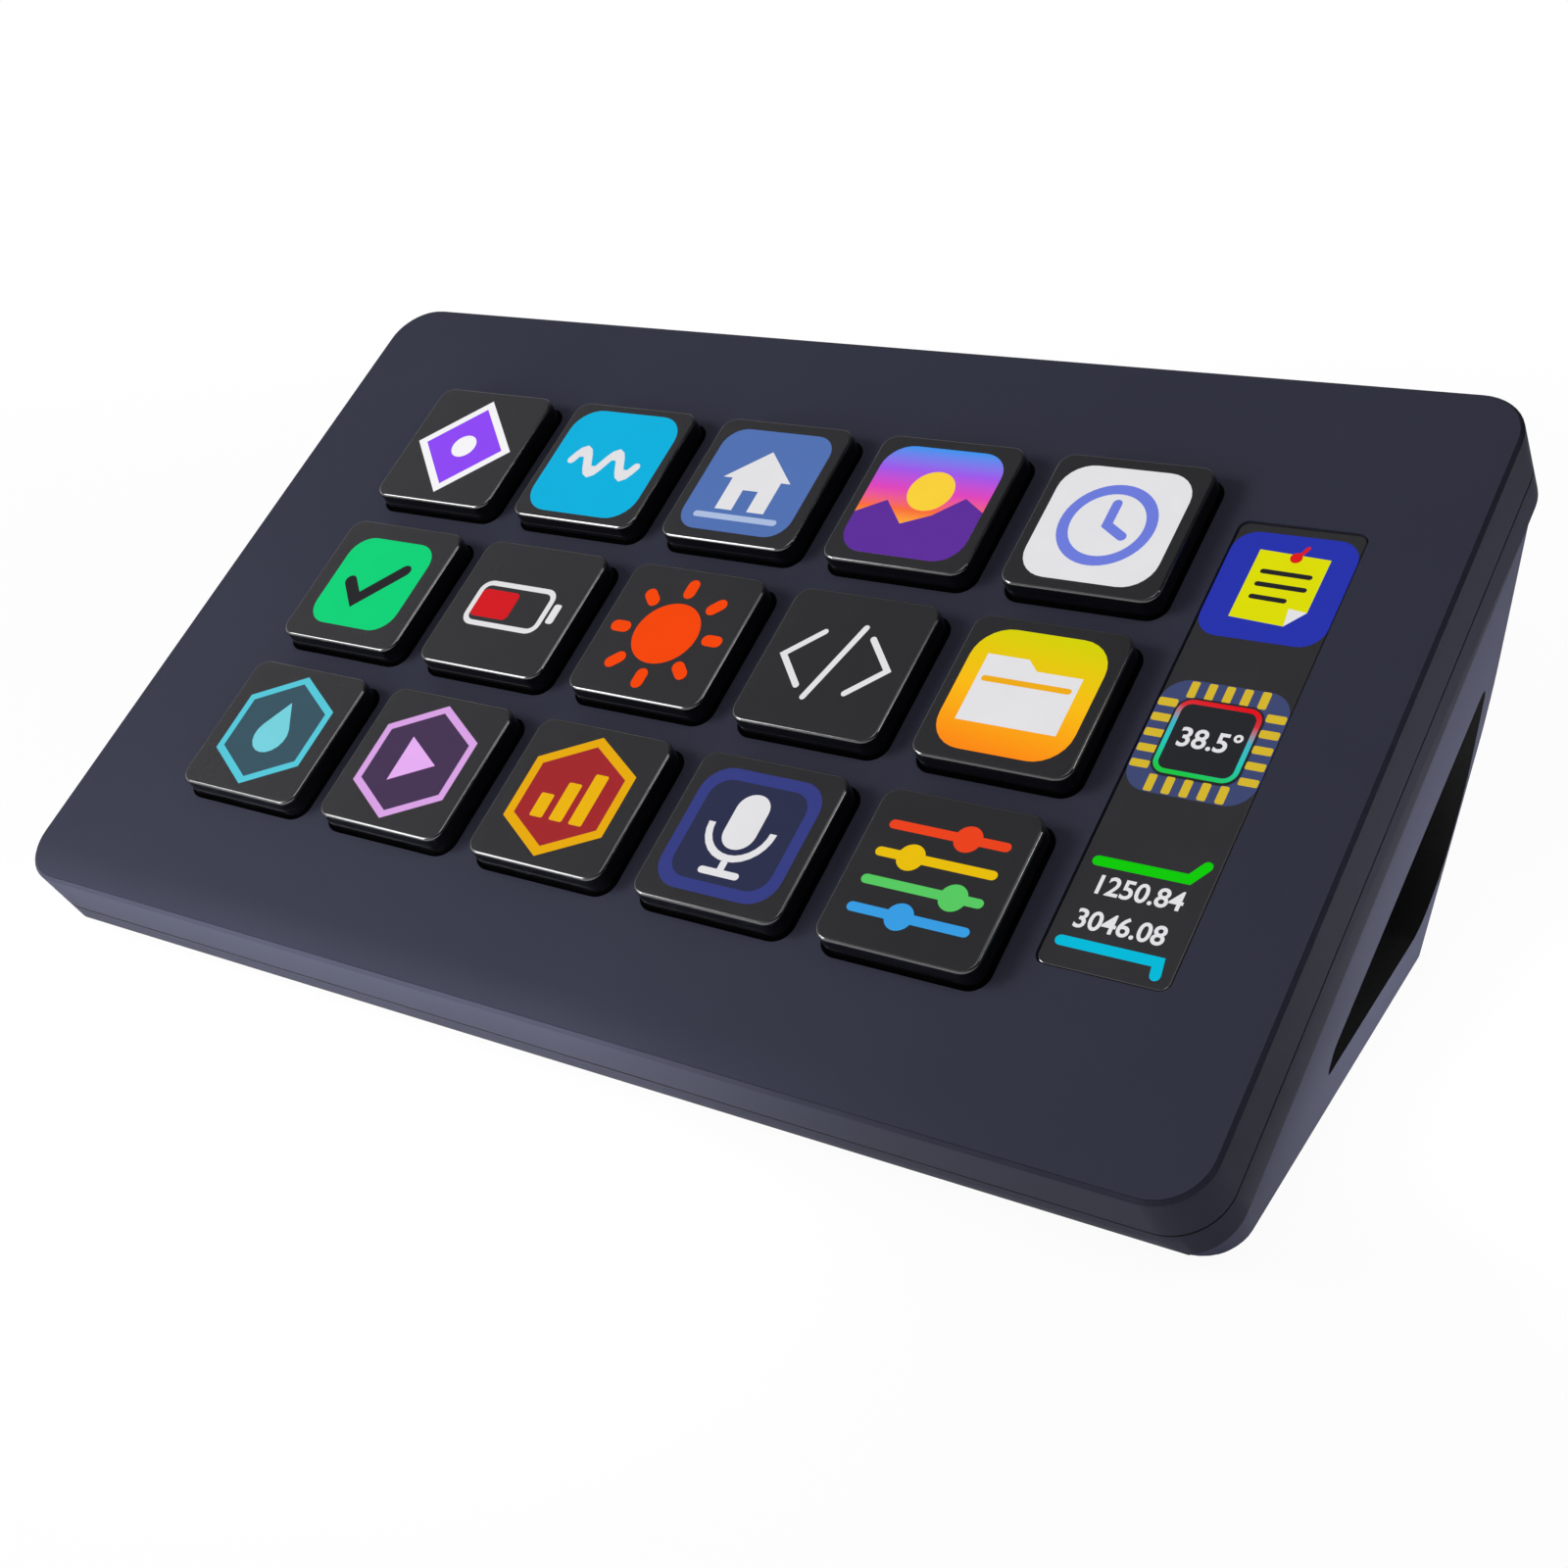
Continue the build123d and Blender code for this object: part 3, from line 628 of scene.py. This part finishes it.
def inside(at):
    # how far within the deck's outline a place on the deck is, near its edge
    radius = seam["corner"]
    return radius - math.hypot(
        max(abs(at.x) - deck["width"] / 2 + radius, 0.0),
        max(abs(at.y) - deck["length"] / 2 + radius, 0.0),
    )


def onFrontRim(at, facing):
    lowest, highest = seam["rimRise"]
    bevelled = lowest < facing.z < highest and facing.y < seam["rimFront"]
    return at.z > -seam["rim"] and bevelled and inside(at) < seam["rimInside"]


def underCover(at, facing):
    hidden = at.z < -seam["skirt"] and inside(at) > seam["inside"]
    return facing.z < -seam["lean"] or hidden


def inSeam(at, facing):
    hidden = facing.z > seam["lean"] or inside(at) > seam["inside"]
    return at.z > -seam["depth"] and hidden


refinish(cover, frontEdgeShadeFinish, onFrontRim)
# painted shade: the cover's downward faces and those hidden under its skirt are painted black
refinish(cover, tunnelShadeFinish, underCover)
# painted shade: the shell's faces in the seam are painted black
refinish(shell, tunnelShadeFinish, inSeam)

# painted shade: the tunnel's walls are painted matt black; they are the faces that face its middle
# and run straight across
tunnel = {"middle": (20.0, 16.0), "reach": 20.0, "straight": 0.02}
tunnelMiddle = Vector(tunnel["middle"]) * mm
tunnelShadeSlot = shell.data.materials.find(tunnelShadeFinish.name)
for polygon in shell.data.polygons:
    inward = tunnelMiddle - polygon.center.yz
    facing = inward.dot(polygon.normal.yz)
    straight = abs(polygon.normal.x) < tunnel["straight"]
    if straight and facing > 0.0 and inward.length < tunnel["reach"] * mm:
        polygon.material_index = tunnelShadeSlot
print("housing done")

# ---- keys
key = {
    "rows": 3,
    "columns": 5,
    "pitch": 19.15,
    "shift": -4.1,
    "frame": 15.7,
    "frameCorner": 1.6,
    "frameTop": 0.95,
    "frameBase": -2.15,
    "flange": 17.5,
    "flangeBase": -3.15,
    "window": 13.2,
    "face": 15.66,
    "faceCorner": 1.58,
    "faceTop": 2.25,
    "faceEdge": 0.3,
    "edgeRise": (0.15, 0.97),
    "plug": 13.1,
    "plugDepth": 1.0,
}

capModel = roundedSlab(
    "capModel", key["frame"], key["frame"], key["frameBase"], key["frameTop"], key["frameCorner"]
)
flangeModel = roundedSlab(
    "flangeModel", key["flange"], key["flange"], key["flangeBase"], key["frameBase"] + 0.01, 0.0
)
cut(capModel, flangeModel, "UNION")
windowTool = roundedSlab(
    "windowTool", key["window"], key["window"], key["flangeBase"] - 1, key["frameTop"] + 1, 0.0
)
cut(capModel, windowTool)

faceModel = roundedSlab(
    "faceModel", key["face"], key["face"], key["frameTop"], key["faceTop"], key["faceCorner"]
)
softenTop(faceModel, key["faceEdge"], 4)
onlyThis(faceModel)
bpy.ops.object.mode_set(mode="EDIT")
picked("faces", lambda face: face.normal.z < -0.9)
bpy.ops.mesh.inset(thickness=(key["face"] - key["plug"]) / 2)
bpy.ops.mesh.extrude_region_move(TRANSFORM_OT_translate={"value": (0, 0, -key["plugDepth"])})
bpy.ops.object.mode_set(mode="OBJECT")



def onFaceEdge(at, facing):
    lowest, highest = key["edgeRise"]
    return lowest < facing.z < highest


keySpots = {}
for row in range(key["rows"]):
    for column in range(key["columns"]):
        tag = f"r{row + 1}c{column + 1}"
        spot = (
            key["shift"] + (column - key["columns"] // 2) * key["pitch"],
            (key["rows"] // 2 - row) * key["pitch"],
        )
        keySpots[tag] = spot
        cap = settle(copyTo(capModel, f"keyCap_{tag}", *spot), f"key_{tag}", frameFinish)
        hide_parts(f"key_frame_{tag}")
        face = settle(copyTo(faceModel, f"keyFace_{tag}", *spot), f"key_{tag}", lensFinish)
        refinish(face, edgeFinish, onFaceEdge)
        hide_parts(f"key_lens_{tag}")
bpy.data.objects.remove(capModel)
bpy.data.objects.remove(faceModel)
print("keys done")


# ---- outlines for the pictures, in millimetres about the middle of a key
def tile(width, height, corner, x=0.0, y=0.0, steps=7):
    points = []
    for turn, (sx, sy) in enumerate(((1, 1), (-1, 1), (-1, -1), (1, -1))):
        for step in range(steps + 1):
            angle = math.radians(90 * turn + 90 * step / steps)
            points.append(
                (
                    x + sx * (width / 2 - corner) + corner * math.cos(angle),
                    y + sy * (height / 2 - corner) + corner * math.sin(angle),
                )
            )
    return points


def disc(radius, x=0.0, y=0.0, sides=48, turn=0.0):
    return [
        (
            x + radius * math.cos(math.radians(turn) + math.tau * i / sides),
            y + radius * math.sin(math.radians(turn) + math.tau * i / sides),
        )
        for i in range(sides)
    ]


def band(outer, inner, start, end, steps=14):
    # part of a ring between two angles in degrees
    angles = [math.radians(start + (end - start) * i / steps) for i in range(steps + 1)]
    return [(outer * math.cos(a), outer * math.sin(a)) for a in angles] + [
        (inner * math.cos(a), inner * math.sin(a)) for a in reversed(angles)
    ]


def line(points, width, roundEnds=True, sharpest=0.5):
    # outline of a pen line through the points; its sharp turns are cut short
    points = [Vector(p) for p in points]
    left, right = [], []
    for i, point in enumerate(points):
        before = (point - points[max(i - 1, 0)]).normalized()
        after = (points[min(i + 1, len(points) - 1)] - point).normalized()
        along = (before + after).normalized()
        side = Vector((-along.y, along.x))
        turns = 0 < i < len(points) - 1
        reach = width / 2 / max(sharpest, (before + after).length / 2 if turns else 1)
        left.append(point + side * reach)
        right.append(point - side * reach)
    outline = list(right)
    if roundEnds:
        outline += roundCap(points[-1], points[-1] - points[-2], width)
    outline += list(reversed(left))
    if roundEnds:
        outline += roundCap(points[0], points[0] - points[1], width)
    return [tuple(p) for p in outline]


def roundCap(end, heading, width, steps=6):
    heading = heading.normalized()
    side = Vector((-heading.y, heading.x))
    made = []
    for i in range(1, steps):
        a = math.pi * i / steps
        made.append(end + heading * math.sin(a) * width / 2 - side * math.cos(a) * width / 2)
    return made


def moved(outline, x, y):
    return [(px + x, py + y) for px, py in outline]


picture = {"sink": 0.02, "step": 0.006, "start": 0.004, "bold": 0.018, "merge": 0.0005}


def flatShape(outline, low, high, hollow=0.0):
    # a thin solid with the outline, or the rim of it
    bpy.ops.object.select_all(action="DESELECT")
    bpy.ops.mesh.primitive_circle_add(vertices=len(outline), radius=1.0, fill_type="NGON")
    piece = bpy.context.object
    for vertex, (x, y) in zip(piece.data.vertices, outline):
        vertex.co = (x, y, low)
    bpy.ops.object.mode_set(mode="EDIT")
    bpy.ops.mesh.select_all(action="SELECT")
    if hollow:
        bpy.ops.mesh.inset(thickness=hollow)
        bpy.ops.mesh.delete(type="FACE")
        bpy.ops.mesh.select_all(action="SELECT")
    bpy.ops.mesh.extrude_region_move(TRANSFORM_OT_translate={"value": (0, 0, high - low)})
    bpy.ops.mesh.select_all(action="SELECT")
    bpy.ops.mesh.normals_make_consistent(inside=False)
    bpy.ops.object.mode_set(mode="OBJECT")
    return piece


def writing(text, size, x, y, low, high):
    # plain figures as a thin solid
    bpy.ops.object.select_all(action="DESELECT")
    bpy.ops.object.text_add(location=(x, y, (low + high) / 2))
    made = bpy.context.object
    made.data.body = text
    made.data.size = size
    made.data.align_x = "CENTER"
    made.data.align_y = "CENTER"
    made.data.extrude = (high - low) / 2
    made.data.offset = picture["bold"] * size
    made.data.resolution_u = 4
    bpy.ops.object.convert(target="MESH")
    made = bpy.context.object
    bpy.ops.object.transform_apply(location=True, rotation=True, scale=True)
    bpy.ops.object.mode_set(mode="EDIT")
    bpy.ops.mesh.select_all(action="SELECT")
    bpy.ops.mesh.remove_doubles(threshold=picture["merge"])
    bpy.ops.mesh.normals_make_consistent(inside=False)
    bpy.ops.object.mode_set(mode="OBJECT")
    return made


def drawPicture(name, spot, height, body, layers):
    # layers from the bottom up: (outline or text, finish, rim width)
    shapes = []
    for number, (outline, finish, *more) in enumerate(layers):
        low = height - picture["sink"]
        high = height + picture["start"] + picture["step"] * number
        if isinstance(outline, str):
            size, x, y = more
            shape = writing(outline, size, x, y, low, high)
        else:
            shape = flatShape(outline, low, high, *more)
        shape.data.materials.clear()
        shape.data.materials.append(finish)
        shapes.append(shape)
    bpy.ops.object.select_all(action="DESELECT")
    for shape in shapes:
        shape.select_set(True)
    bpy.context.view_layer.objects.active = shapes[0]
    if len(shapes) > 1:
        bpy.ops.object.join()
    joined = bpy.context.object
    joined.name = joined.data.name = name
    joined.location = (spot[0], spot[1], 0.0)
    settle(joined, body, None, smooth=False)
    return joined


# ---- pictures on the keys: plain signs of no maker
white = lit(232, 231, 234)
brightWhite = lit(250, 249, 251)
black = lit(38, 38, 41)
wave = [(-4.2 + 0.35 * i, 1.5 * math.sin(math.tau * i / 12)) for i in range(25)]
house = [(-4.0, 0.2), (0.0, 3.9), (4.0, 0.2), (2.9, 0.2), (2.9, -3.8), (-2.9, -3.8), (-2.9, 0.2)]
door = [(-0.9, -3.8), (-0.9, -1.2), (0.9, -1.2), (0.9, -3.8)]
folder = [(-4.9, 3.6), (-4.9, -3.6), (4.9, -3.6), (4.9, 2.5), (0.4, 2.5), (-0.8, 3.6)]
ridge = [(6.6, -0.4), (4.2, 1.0), (1.6, -1.4), (-1.2, -2.8), (-3.8, -0.2), (-6.6, -2.0)]
hills = [point for point in tile(13.2, 13.2, 2.8) if point[1] < -3.0] + ridge
droplet = [(0.0, 3.4)] + [
    (2.1 * math.cos(math.radians(a)), -0.7 + 2.1 * math.sin(math.radians(a)))
    for a in range(30, -211, -20)
]
droplet.reverse()

gradientPink = litGradient(
    "litSunset",
    (
        (0.2, toned(255, 204, 60)),
        (0.42, toned(252, 110, 60)),
        (0.6, toned(226, 70, 190)),
        (0.78, toned(160, 90, 235)),
        (1.0, toned(60, 150, 240)),
    ),
    keySpots["r1c4"],
    (0.0, 1.0),
    6.6,
)
gradientGold = litGradient(
    "litGold",
    ((0.0, toned(255, 138, 20)), (0.5, toned(252, 190, 20)), (1.0, toned(214, 212, 6))),
    keySpots["r2c5"],
    (0.1, 0.99),
    6.4,
)

rays = 8
compass = [
    (math.cos(math.tau * i / rays), math.sin(math.tau * i / rays)) for i in range(rays)
]
keyPictures = {
    "r1c1": [
        (disc(6.5, sides=4), brightWhite),
        (disc(5.3, sides=4), lit(144, 72, 248)),
        (disc(1.5), brightWhite),
    ],
    "r1c2": [(tile(13.7, 13.7, 3.0), lit(9, 180, 226)), (line(wave, 1.0), white)],
    "r1c3": [
        (tile(13.0, 13.0, 2.4), lit(84, 116, 182)),
        (house, white),
        (door, lit(84, 116, 182)),
        (line([(-4.6, -4.7), (4.6, -4.7)], 0.7), lit(176, 194, 228)),
    ],
    "r1c4": [
        (tile(13.2, 13.2, 2.8), gradientPink),
        (disc(2.4, 0.2, 1.4), lit(255, 214, 60)),
        (hills, lit(96, 48, 158)),
    ],
    "r1c5": [
        (tile(13.2, 13.2, 3.0), white),
        (disc(4.7), lit(112, 127, 224), 1.1),
        (line([(0.0, 2.5), (0.0, 0.0), (1.9, -1.1)], 0.95), lit(112, 127, 224)),
    ],
    "r2c1": [
        (tile(11.4, 11.4, 2.6), lit(6, 214, 122)),
        (line([(-3.0, -0.1), (-0.9, -2.3), (3.2, 2.2)], 1.4), black),
    ],
    "r2c2": [
        (tile(9.8, 5.6, 1.4, -0.4, 0.0), white, 0.6),
        (tile(0.9, 2.4, 0.3, 5.3, 0.0), white),
        (tile(4.8, 3.4, 0.6, -2.3, 0.0), lit(214, 26, 34)),
    ],
    "r2c3": [(disc(3.6), lit(250, 72, 5))]
    + [
        (line([(4.9 * c, 4.9 * s), (5.9 * c, 5.9 * s)], 1.3), lit(250, 72, 5))
        for c, s in compass
    ],
    "r2c4": [
        (line([(-2.6, 3.1), (-5.6, 0.0), (-2.6, -3.1)], 0.62), white),
        (line([(2.6, 3.1), (5.6, 0.0), (2.6, -3.1)], 0.62), white),
        (line([(1.3, 4.2), (-1.3, -4.2)], 0.62), white),
    ],
    "r2c5": [
        (tile(13.2, 13.0, 3.3), gradientGold),
        (folder, white),
        (line([(-4.1, 1.0), (4.1, 1.0)], 0.6), lit(246, 176, 24)),
    ],
    "r3c1": [
        (disc(6.7, sides=6, turn=90), lit(88, 204, 222)),
        (disc(5.8, sides=6, turn=90), lit(58, 86, 99)),
        (droplet, lit(120, 214, 226)),
    ],
    "r3c2": [
        (disc(6.7, sides=6, turn=90), lit(222, 166, 234)),
        (disc(5.8, sides=6, turn=90), lit(72, 54, 86)),
        (disc(3.0, -0.4, 0.0, sides=3), lit(236, 178, 248)),
    ],
    "r3c3": [
        (disc(6.7, sides=6, turn=90), lit(236, 174, 10)),
        (disc(5.6, sides=6, turn=90), lit(164, 42, 46)),
        (tile(1.5, 2.6, 0.2, -2.3, -1.5), lit(240, 184, 14)),
        (tile(1.5, 4.2, 0.2, 0.0, -0.7), lit(240, 184, 14)),
        (tile(1.5, 5.6, 0.2, 2.3, 0.0), lit(240, 184, 14)),
    ],
    "r3c4": [
        (tile(12.8, 12.8, 2.8), lit(56, 64, 134)),
        (tile(10.4, 10.4, 2.0), lit(46, 50, 78)),
        (tile(3.4, 5.8, 1.65, 0.0, 1.3), white),
        (moved(band(3.6, 2.9, 180, 360), 0.0, 0.7), white),
        (line([(0.0, -2.9), (0.0, -4.1)], 0.7, False), white),
        (line([(-1.8, -4.1), (1.8, -4.1)], 0.7), white),
    ],
    "r3c5": [
        (shape, colour)
        for knob, y, colour in (
            (1.8, 4.2, lit(240, 68, 30)),
            (-2.4, 1.4, lit(238, 194, 10)),
            (3.0, -1.4, lit(90, 206, 100)),
            (-0.8, -4.2, lit(58, 160, 232)),
        )
        for shape in (line([(-5.4, y), (5.4, y)], 0.9), disc(1.3, knob, y))
    ],
}
for tag, layers in keyPictures.items():
    drawPicture(f"keyPicture_{tag}", keySpots[tag], key["faceTop"], f"key_{tag}", layers)
print("key pictures done")

# ---- display strip
strip = {
    "x": 50.9,
    "width": 11.8,
    "length": 46.5,
    "corner": 0.95,
    "top": -0.12,
    "thickness": 1.2,
    "edge": 0.22,
    "edgeRise": (0.15, 0.97),
    "edgeFront": -0.1,
}


def onStripEdge(at, facing):
    lowest, highest = strip["edgeRise"]
    return lowest < facing.z < highest and facing.y < strip["edgeFront"]


window = roundedSlab(
    "stripWindow",
    strip["width"],
    strip["length"],
    strip["top"] - strip["thickness"],
    strip["top"],
    strip["corner"],
    x=strip["x"],
)
softenTop(window, strip["edge"], 3)
settle(window, "housing", windowFinish)
refinish(window, edgeFinish, onStripEdge)
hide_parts("display_window")

noteBlue = lit(41, 53, 175)
noteYellow = lit(226, 226, 6)
drawPicture(
    "stripNote",
    (strip["x"], 16.5),
    strip["top"],
    "housing",
    [
        (tile(11.6, 11.6, 2.2), noteBlue),
        ([(-3.2, -3.6), (1.9, -3.9), (3.4, -2.2), (3.5, 3.6), (-3.1, 3.9)], noteYellow),
        ([(1.9, -3.9), (3.4, -2.2), (1.7, -2.0)], white),
        (line([(-2.0, 1.6), (2.3, 1.5)], 0.5), black),
        (line([(-2.0, 0.2), (2.3, 0.1)], 0.5), black),
        (line([(-2.0, -1.2), (1.0, -1.3)], 0.5), black),
        (line([(0.5, 3.4), (1.1, 4.6)], 0.35), lit(226, 30, 30)),
        (disc(0.55, 0.4, 3.4), lit(226, 30, 30)),
    ],
)

ringGradient = litGradient(
    "litRing",
    (
        (0.0, toned(30, 200, 70)),
        (0.35, toned(40, 200, 190)),
        (0.62, toned(70, 180, 200)),
        (0.85, toned(214, 50, 60)),
        (1.0, toned(224, 20, 30)),
    ),
    (strip["x"], 0.0),
    (0.15, 0.99),
    3.7,
)
gold = lit(218, 186, 48)
pins = []
for i in range(5):
    along = -3.2 + 1.6 * i
    pins += [
        (tile(0.75, 1.7, 0.15, along, 4.85), gold),
        (tile(0.75, 1.7, 0.15, along, -4.85), gold),
        (tile(1.7, 0.75, 0.15, 4.85, along), gold),
        (tile(1.7, 0.75, 0.15, -4.85, along), gold),
    ]
drawPicture(
    "stripChip",
    (strip["x"], 0.0),
    strip["top"],
    "housing",
    [(tile(11.6, 11.6, 2.4), lit(64, 74, 116))]
    + pins
    + [
        (tile(8.0, 8.0, 1.5), lit(40, 41, 44)),
        (tile(7.6, 7.6, 1.3), ringGradient, 0.45),
        ("38.5°", white, 2.7, 0.2, -0.1),
    ],
)
lineGreen = lit(16, 206, 8)
lineCyan = lit(4, 190, 222)
drawPicture(
    "stripReadout",
    (strip["x"], -16.6),
    strip["top"],
    "housing",
    [
        (line([(-4.5, 3.57), (3.6, 3.57), (4.6, 5.0)], 0.95), lineGreen),
        ("1250.84", white, 2.5, 0.0, 1.35),
        ("3046.08", white, 2.5, -0.2, -2.0),
        (line([(-4.5, -4.2), (4.1, -4.2), (4.3, -5.4)], 0.95), lineCyan),
    ],
)
print("strip done")

# ---- what shows of the other CAD parts
rubber = plainFinish("rubber", toned(24, 24, 26), toned(36, 36, 38), 0.85, 0.0, 0.4, 0.05)
steel = plainFinish("screwSteel", toned(120, 122, 128), toned(150, 152, 158), 0.32, 1.0, 0.5)
innerFinishes = {
    "foot_": rubber,
    "socket_shell": plainFinish(
        "socketSteel", toned(170, 172, 176), toned(196, 198, 202), 0.28, 1.0
    ),
    "socket_tongue": plainFinish("tonguePlastic", toned(20, 20, 22), toned(30, 30, 32), 0.5),
    "key_membrane": plainFinish("silicone", toned(150, 152, 156), toned(170, 172, 176), 0.6),
    "key_circuit": plainFinish("circuitFilm", toned(28, 60, 44), toned(36, 74, 54), 0.45),
    "display_panel": plainFinish("panelGlass", toned(14, 14, 18), toned(22, 22, 28), 0.2),
    "display_tray": plainFinish("traySteel", toned(120, 122, 126), toned(140, 142, 146), 0.4, 1.0),
    "main_board": plainFinish("boardGreen", toned(20, 62, 42), toned(30, 80, 54), 0.4),
    "board_components": plainFinish("chipBlack", toned(22, 22, 24), toned(34, 34, 36), 0.5),
    "display_ribbon": plainFinish("ribbonAmber", toned(150, 88, 30), toned(176, 108, 40), 0.35),
    "circuit_ribbon": plainFinish("ribbonAmber2", toned(150, 88, 30), toned(176, 108, 40), 0.35),
    "tray_screws": steel,
    "board_screws": steel,
    "case_screws": steel,
}
for nodeName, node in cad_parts.items():
    for start, finish in innerFinishes.items():
        if nodeName.startswith(start):
            node.data.materials.clear()
            node.data.materials.append(finish)
print("inner parts finished")

# ---- silicone membrane: a sheet, and a fixed spring wall under each key
membrane = {
    "x": 1.4,
    "width": 117.0,
    "length": 59.0,
    "base": -5.7,
    "top": -4.9,
    "window": 13.6,
    "stripWindow": (10.5, 45.2),
    "spring": 15.8,
    "springInner": 14.0,
    "springTop": -3.4,
    "keep": 0.09,
}
silicone = innerFinishes["key_membrane"]
membraneSheet = roundedSlab(
    "membraneSheet",
    membrane["width"],
    membrane["length"],
    membrane["base"],
    membrane["top"],
    0.0,
    x=membrane["x"],
)
holes = [(*spot, membrane["window"], membrane["window"]) for spot in keySpots.values()]
for x, y, width, length in holes + [(strip["x"], 0.0, *membrane["stripWindow"])]:
    hole = roundedSlab(
        "hole", width, length, membrane["base"] - 1, membrane["top"] + 1, 0.0, x=x, y=y
    )
    cut(membraneSheet, hole)
settle(membraneSheet, "housing", silicone)
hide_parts("key_membrane")

springModel = roundedSlab(
    "springModel",
    membrane["spring"],
    membrane["spring"],
    membrane["top"],
    membrane["springTop"],
    0.0,
)
springTool = roundedSlab(
    "springTool", membrane["springInner"], membrane["springInner"], membrane["base"], 0.0, 0.0
)
cut(springModel, springTool)
for tag, spot in keySpots.items():
    spring = settle(copyTo(springModel, f"springWall_{tag}", *spot), "housing", silicone)
    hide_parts("key_membrane")
    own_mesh(spring)
bpy.data.objects.remove(springModel)
print("membrane done")

# ---- floor, light and surroundings
bpy.ops.object.select_all(action="DESELECT")
ground = {
    "size": 30.0,
    "colour": (0.92, 0.92, 0.92, 1.0),
    "rough": 0.9,
    "specular": 0.1,
    "near": 0.95,
    "fadeFrom": 0.16,
    "fadeOver": 0.3,
}
bpy.ops.mesh.primitive_plane_add(size=ground["size"], location=(0.0, 0.0, 0.0))
floor = bpy.context.object
floor.name = "floor"
floorFinish = Finish("paleFloor")
floorFinish.surface(
    {
        "Base Color": ground["colour"],
        "Roughness": ground["rough"],
        "Specular IOR Level": ground["specular"],
    }
)
glow = floorFinish.node(
    "ShaderNodeEmission", None, {"Color": (1.0, 1.0, 1.0, 1.0), "Strength": 1.0}
)
away = floorFinish.node(
    "ShaderNodeVectorMath", {"operation": "LENGTH"}, {0: floorFinish.place()}, "Value"
)
fade = ((away - ground["fadeFrom"]) / ground["fadeOver"]).clamped()
share = floorFinish.seen() * (ground["near"] + fade * (1.0 - ground["near"]))
mixed = floorFinish.node(
    "ShaderNodeMixShader",
    None,
    {0: share, 1: Wire(floorFinish, floorFinish.shader.outputs[0]), 2: glow},
)
floorFinish.plug(floorFinish.tree.nodes["Material Output"].inputs["Surface"], mixed)
floor.data.materials.append(floorFinish.material)

lamps = {
    "softLeft": {
        "place": (-0.267, -0.258, 0.194),
        "aim": (0.0, 0.0, 0.0),
        "size": (0.14, 0.14),
        "power": 0.92,
    },
    "softRight": {
        "place": (0.658, 0.0, 0.613),
        "aim": (0.0, 0.0, 0.0),
        "size": (0.12, 0.12),
        "power": 0.45,
    },
    "softHigh": {
        "place": (0.09, -0.364, 0.819),
        "aim": (0.0, 0.0, 0.0),
        "size": (0.45, 0.45),
        "power": 1.7,
    },
    "lowLeft": {
        "place": (-0.204, -0.253, 0.04),
        "aim": (0.0, 0.0, 0.01),
        "size": (0.06, 0.06),
        "power": 0.13,
    },
    # two lamps close to the floor face down: the floor throws their light up at the sides
    "floorWash": {
        "place": (-0.031, -0.061, 0.011),
        "aim": (-0.031, -0.061, 0.0),
        "size": (0.105, 0.013),
        "power": 0.095,
    },
    "sideWash": {
        "place": (0.092, 0.03, 0.012),
        "aim": (0.092, 0.03, 0.0),
        "size": (0.02, 0.07),
        "power": 0.043,
    },
}
for name, lamp in lamps.items():
    lampData = bpy.data.lights.new(name, "AREA")
    lampData.shape = "RECTANGLE"
    lampData.size, lampData.size_y = lamp["size"]
    lampData.energy = lamp["power"]
    lampObject = bpy.data.objects.new(name, lampData)
    scene.collection.objects.link(lampObject)
    lampObject.location = lamp["place"]
    lampObject.rotation_mode = "QUATERNION"
    aim = Vector(lamp["aim"]) - Vector(lamp["place"])
    lampObject.rotation_quaternion = aim.to_track_quat("-Z", "Y")

# a white studio wall that darkens towards the ceiling and towards the right
wall = {
    "stops": (
        (0.0, (1.0, 1.0, 1.0, 1.0)),
        (0.14, (0.95, 0.95, 0.95, 1.0)),
        (0.35, (0.75, 0.75, 0.78, 1.0)),
        (0.6, (0.6, 0.6, 0.64, 1.0)),
        (0.85, (0.34, 0.34, 0.37, 1.0)),
        (1.0, (0.24, 0.24, 0.27, 1.0)),
    ),
    "darkFrom": -0.75,
    "darkOver": 1.25,
    "darkest": 0.92,
    "strength": 1.0,
}
world = bpy.data.worlds.new("studio")
scene.world = world
world.use_nodes = True
sky = Graph(world.node_tree)
heading = sky.node("ShaderNodeTexCoord", output="Generated")
rising = sky.node("ShaderNodeValToRGB", {"stops": wall["stops"]}, {"Fac": sky.axis(heading, "Z")})
dark = ((sky.axis(heading, "X") - wall["darkFrom"]) / wall["darkOver"]).clamped() * wall["darkest"]
shaded = sky.blend(dark, rising, (0.0, 0.0, 0.0, 1.0))
background = sky.node("ShaderNodeLightPath", output="Is Camera Ray")
backdrop = world.node_tree.nodes["Background"]
sky.plug(backdrop.inputs["Color"], sky.blend(background, shaded, (1.0, 1.0, 1.0, 1.0)))
backdrop.inputs["Strength"].default_value = wall["strength"]
print("floor and light done")
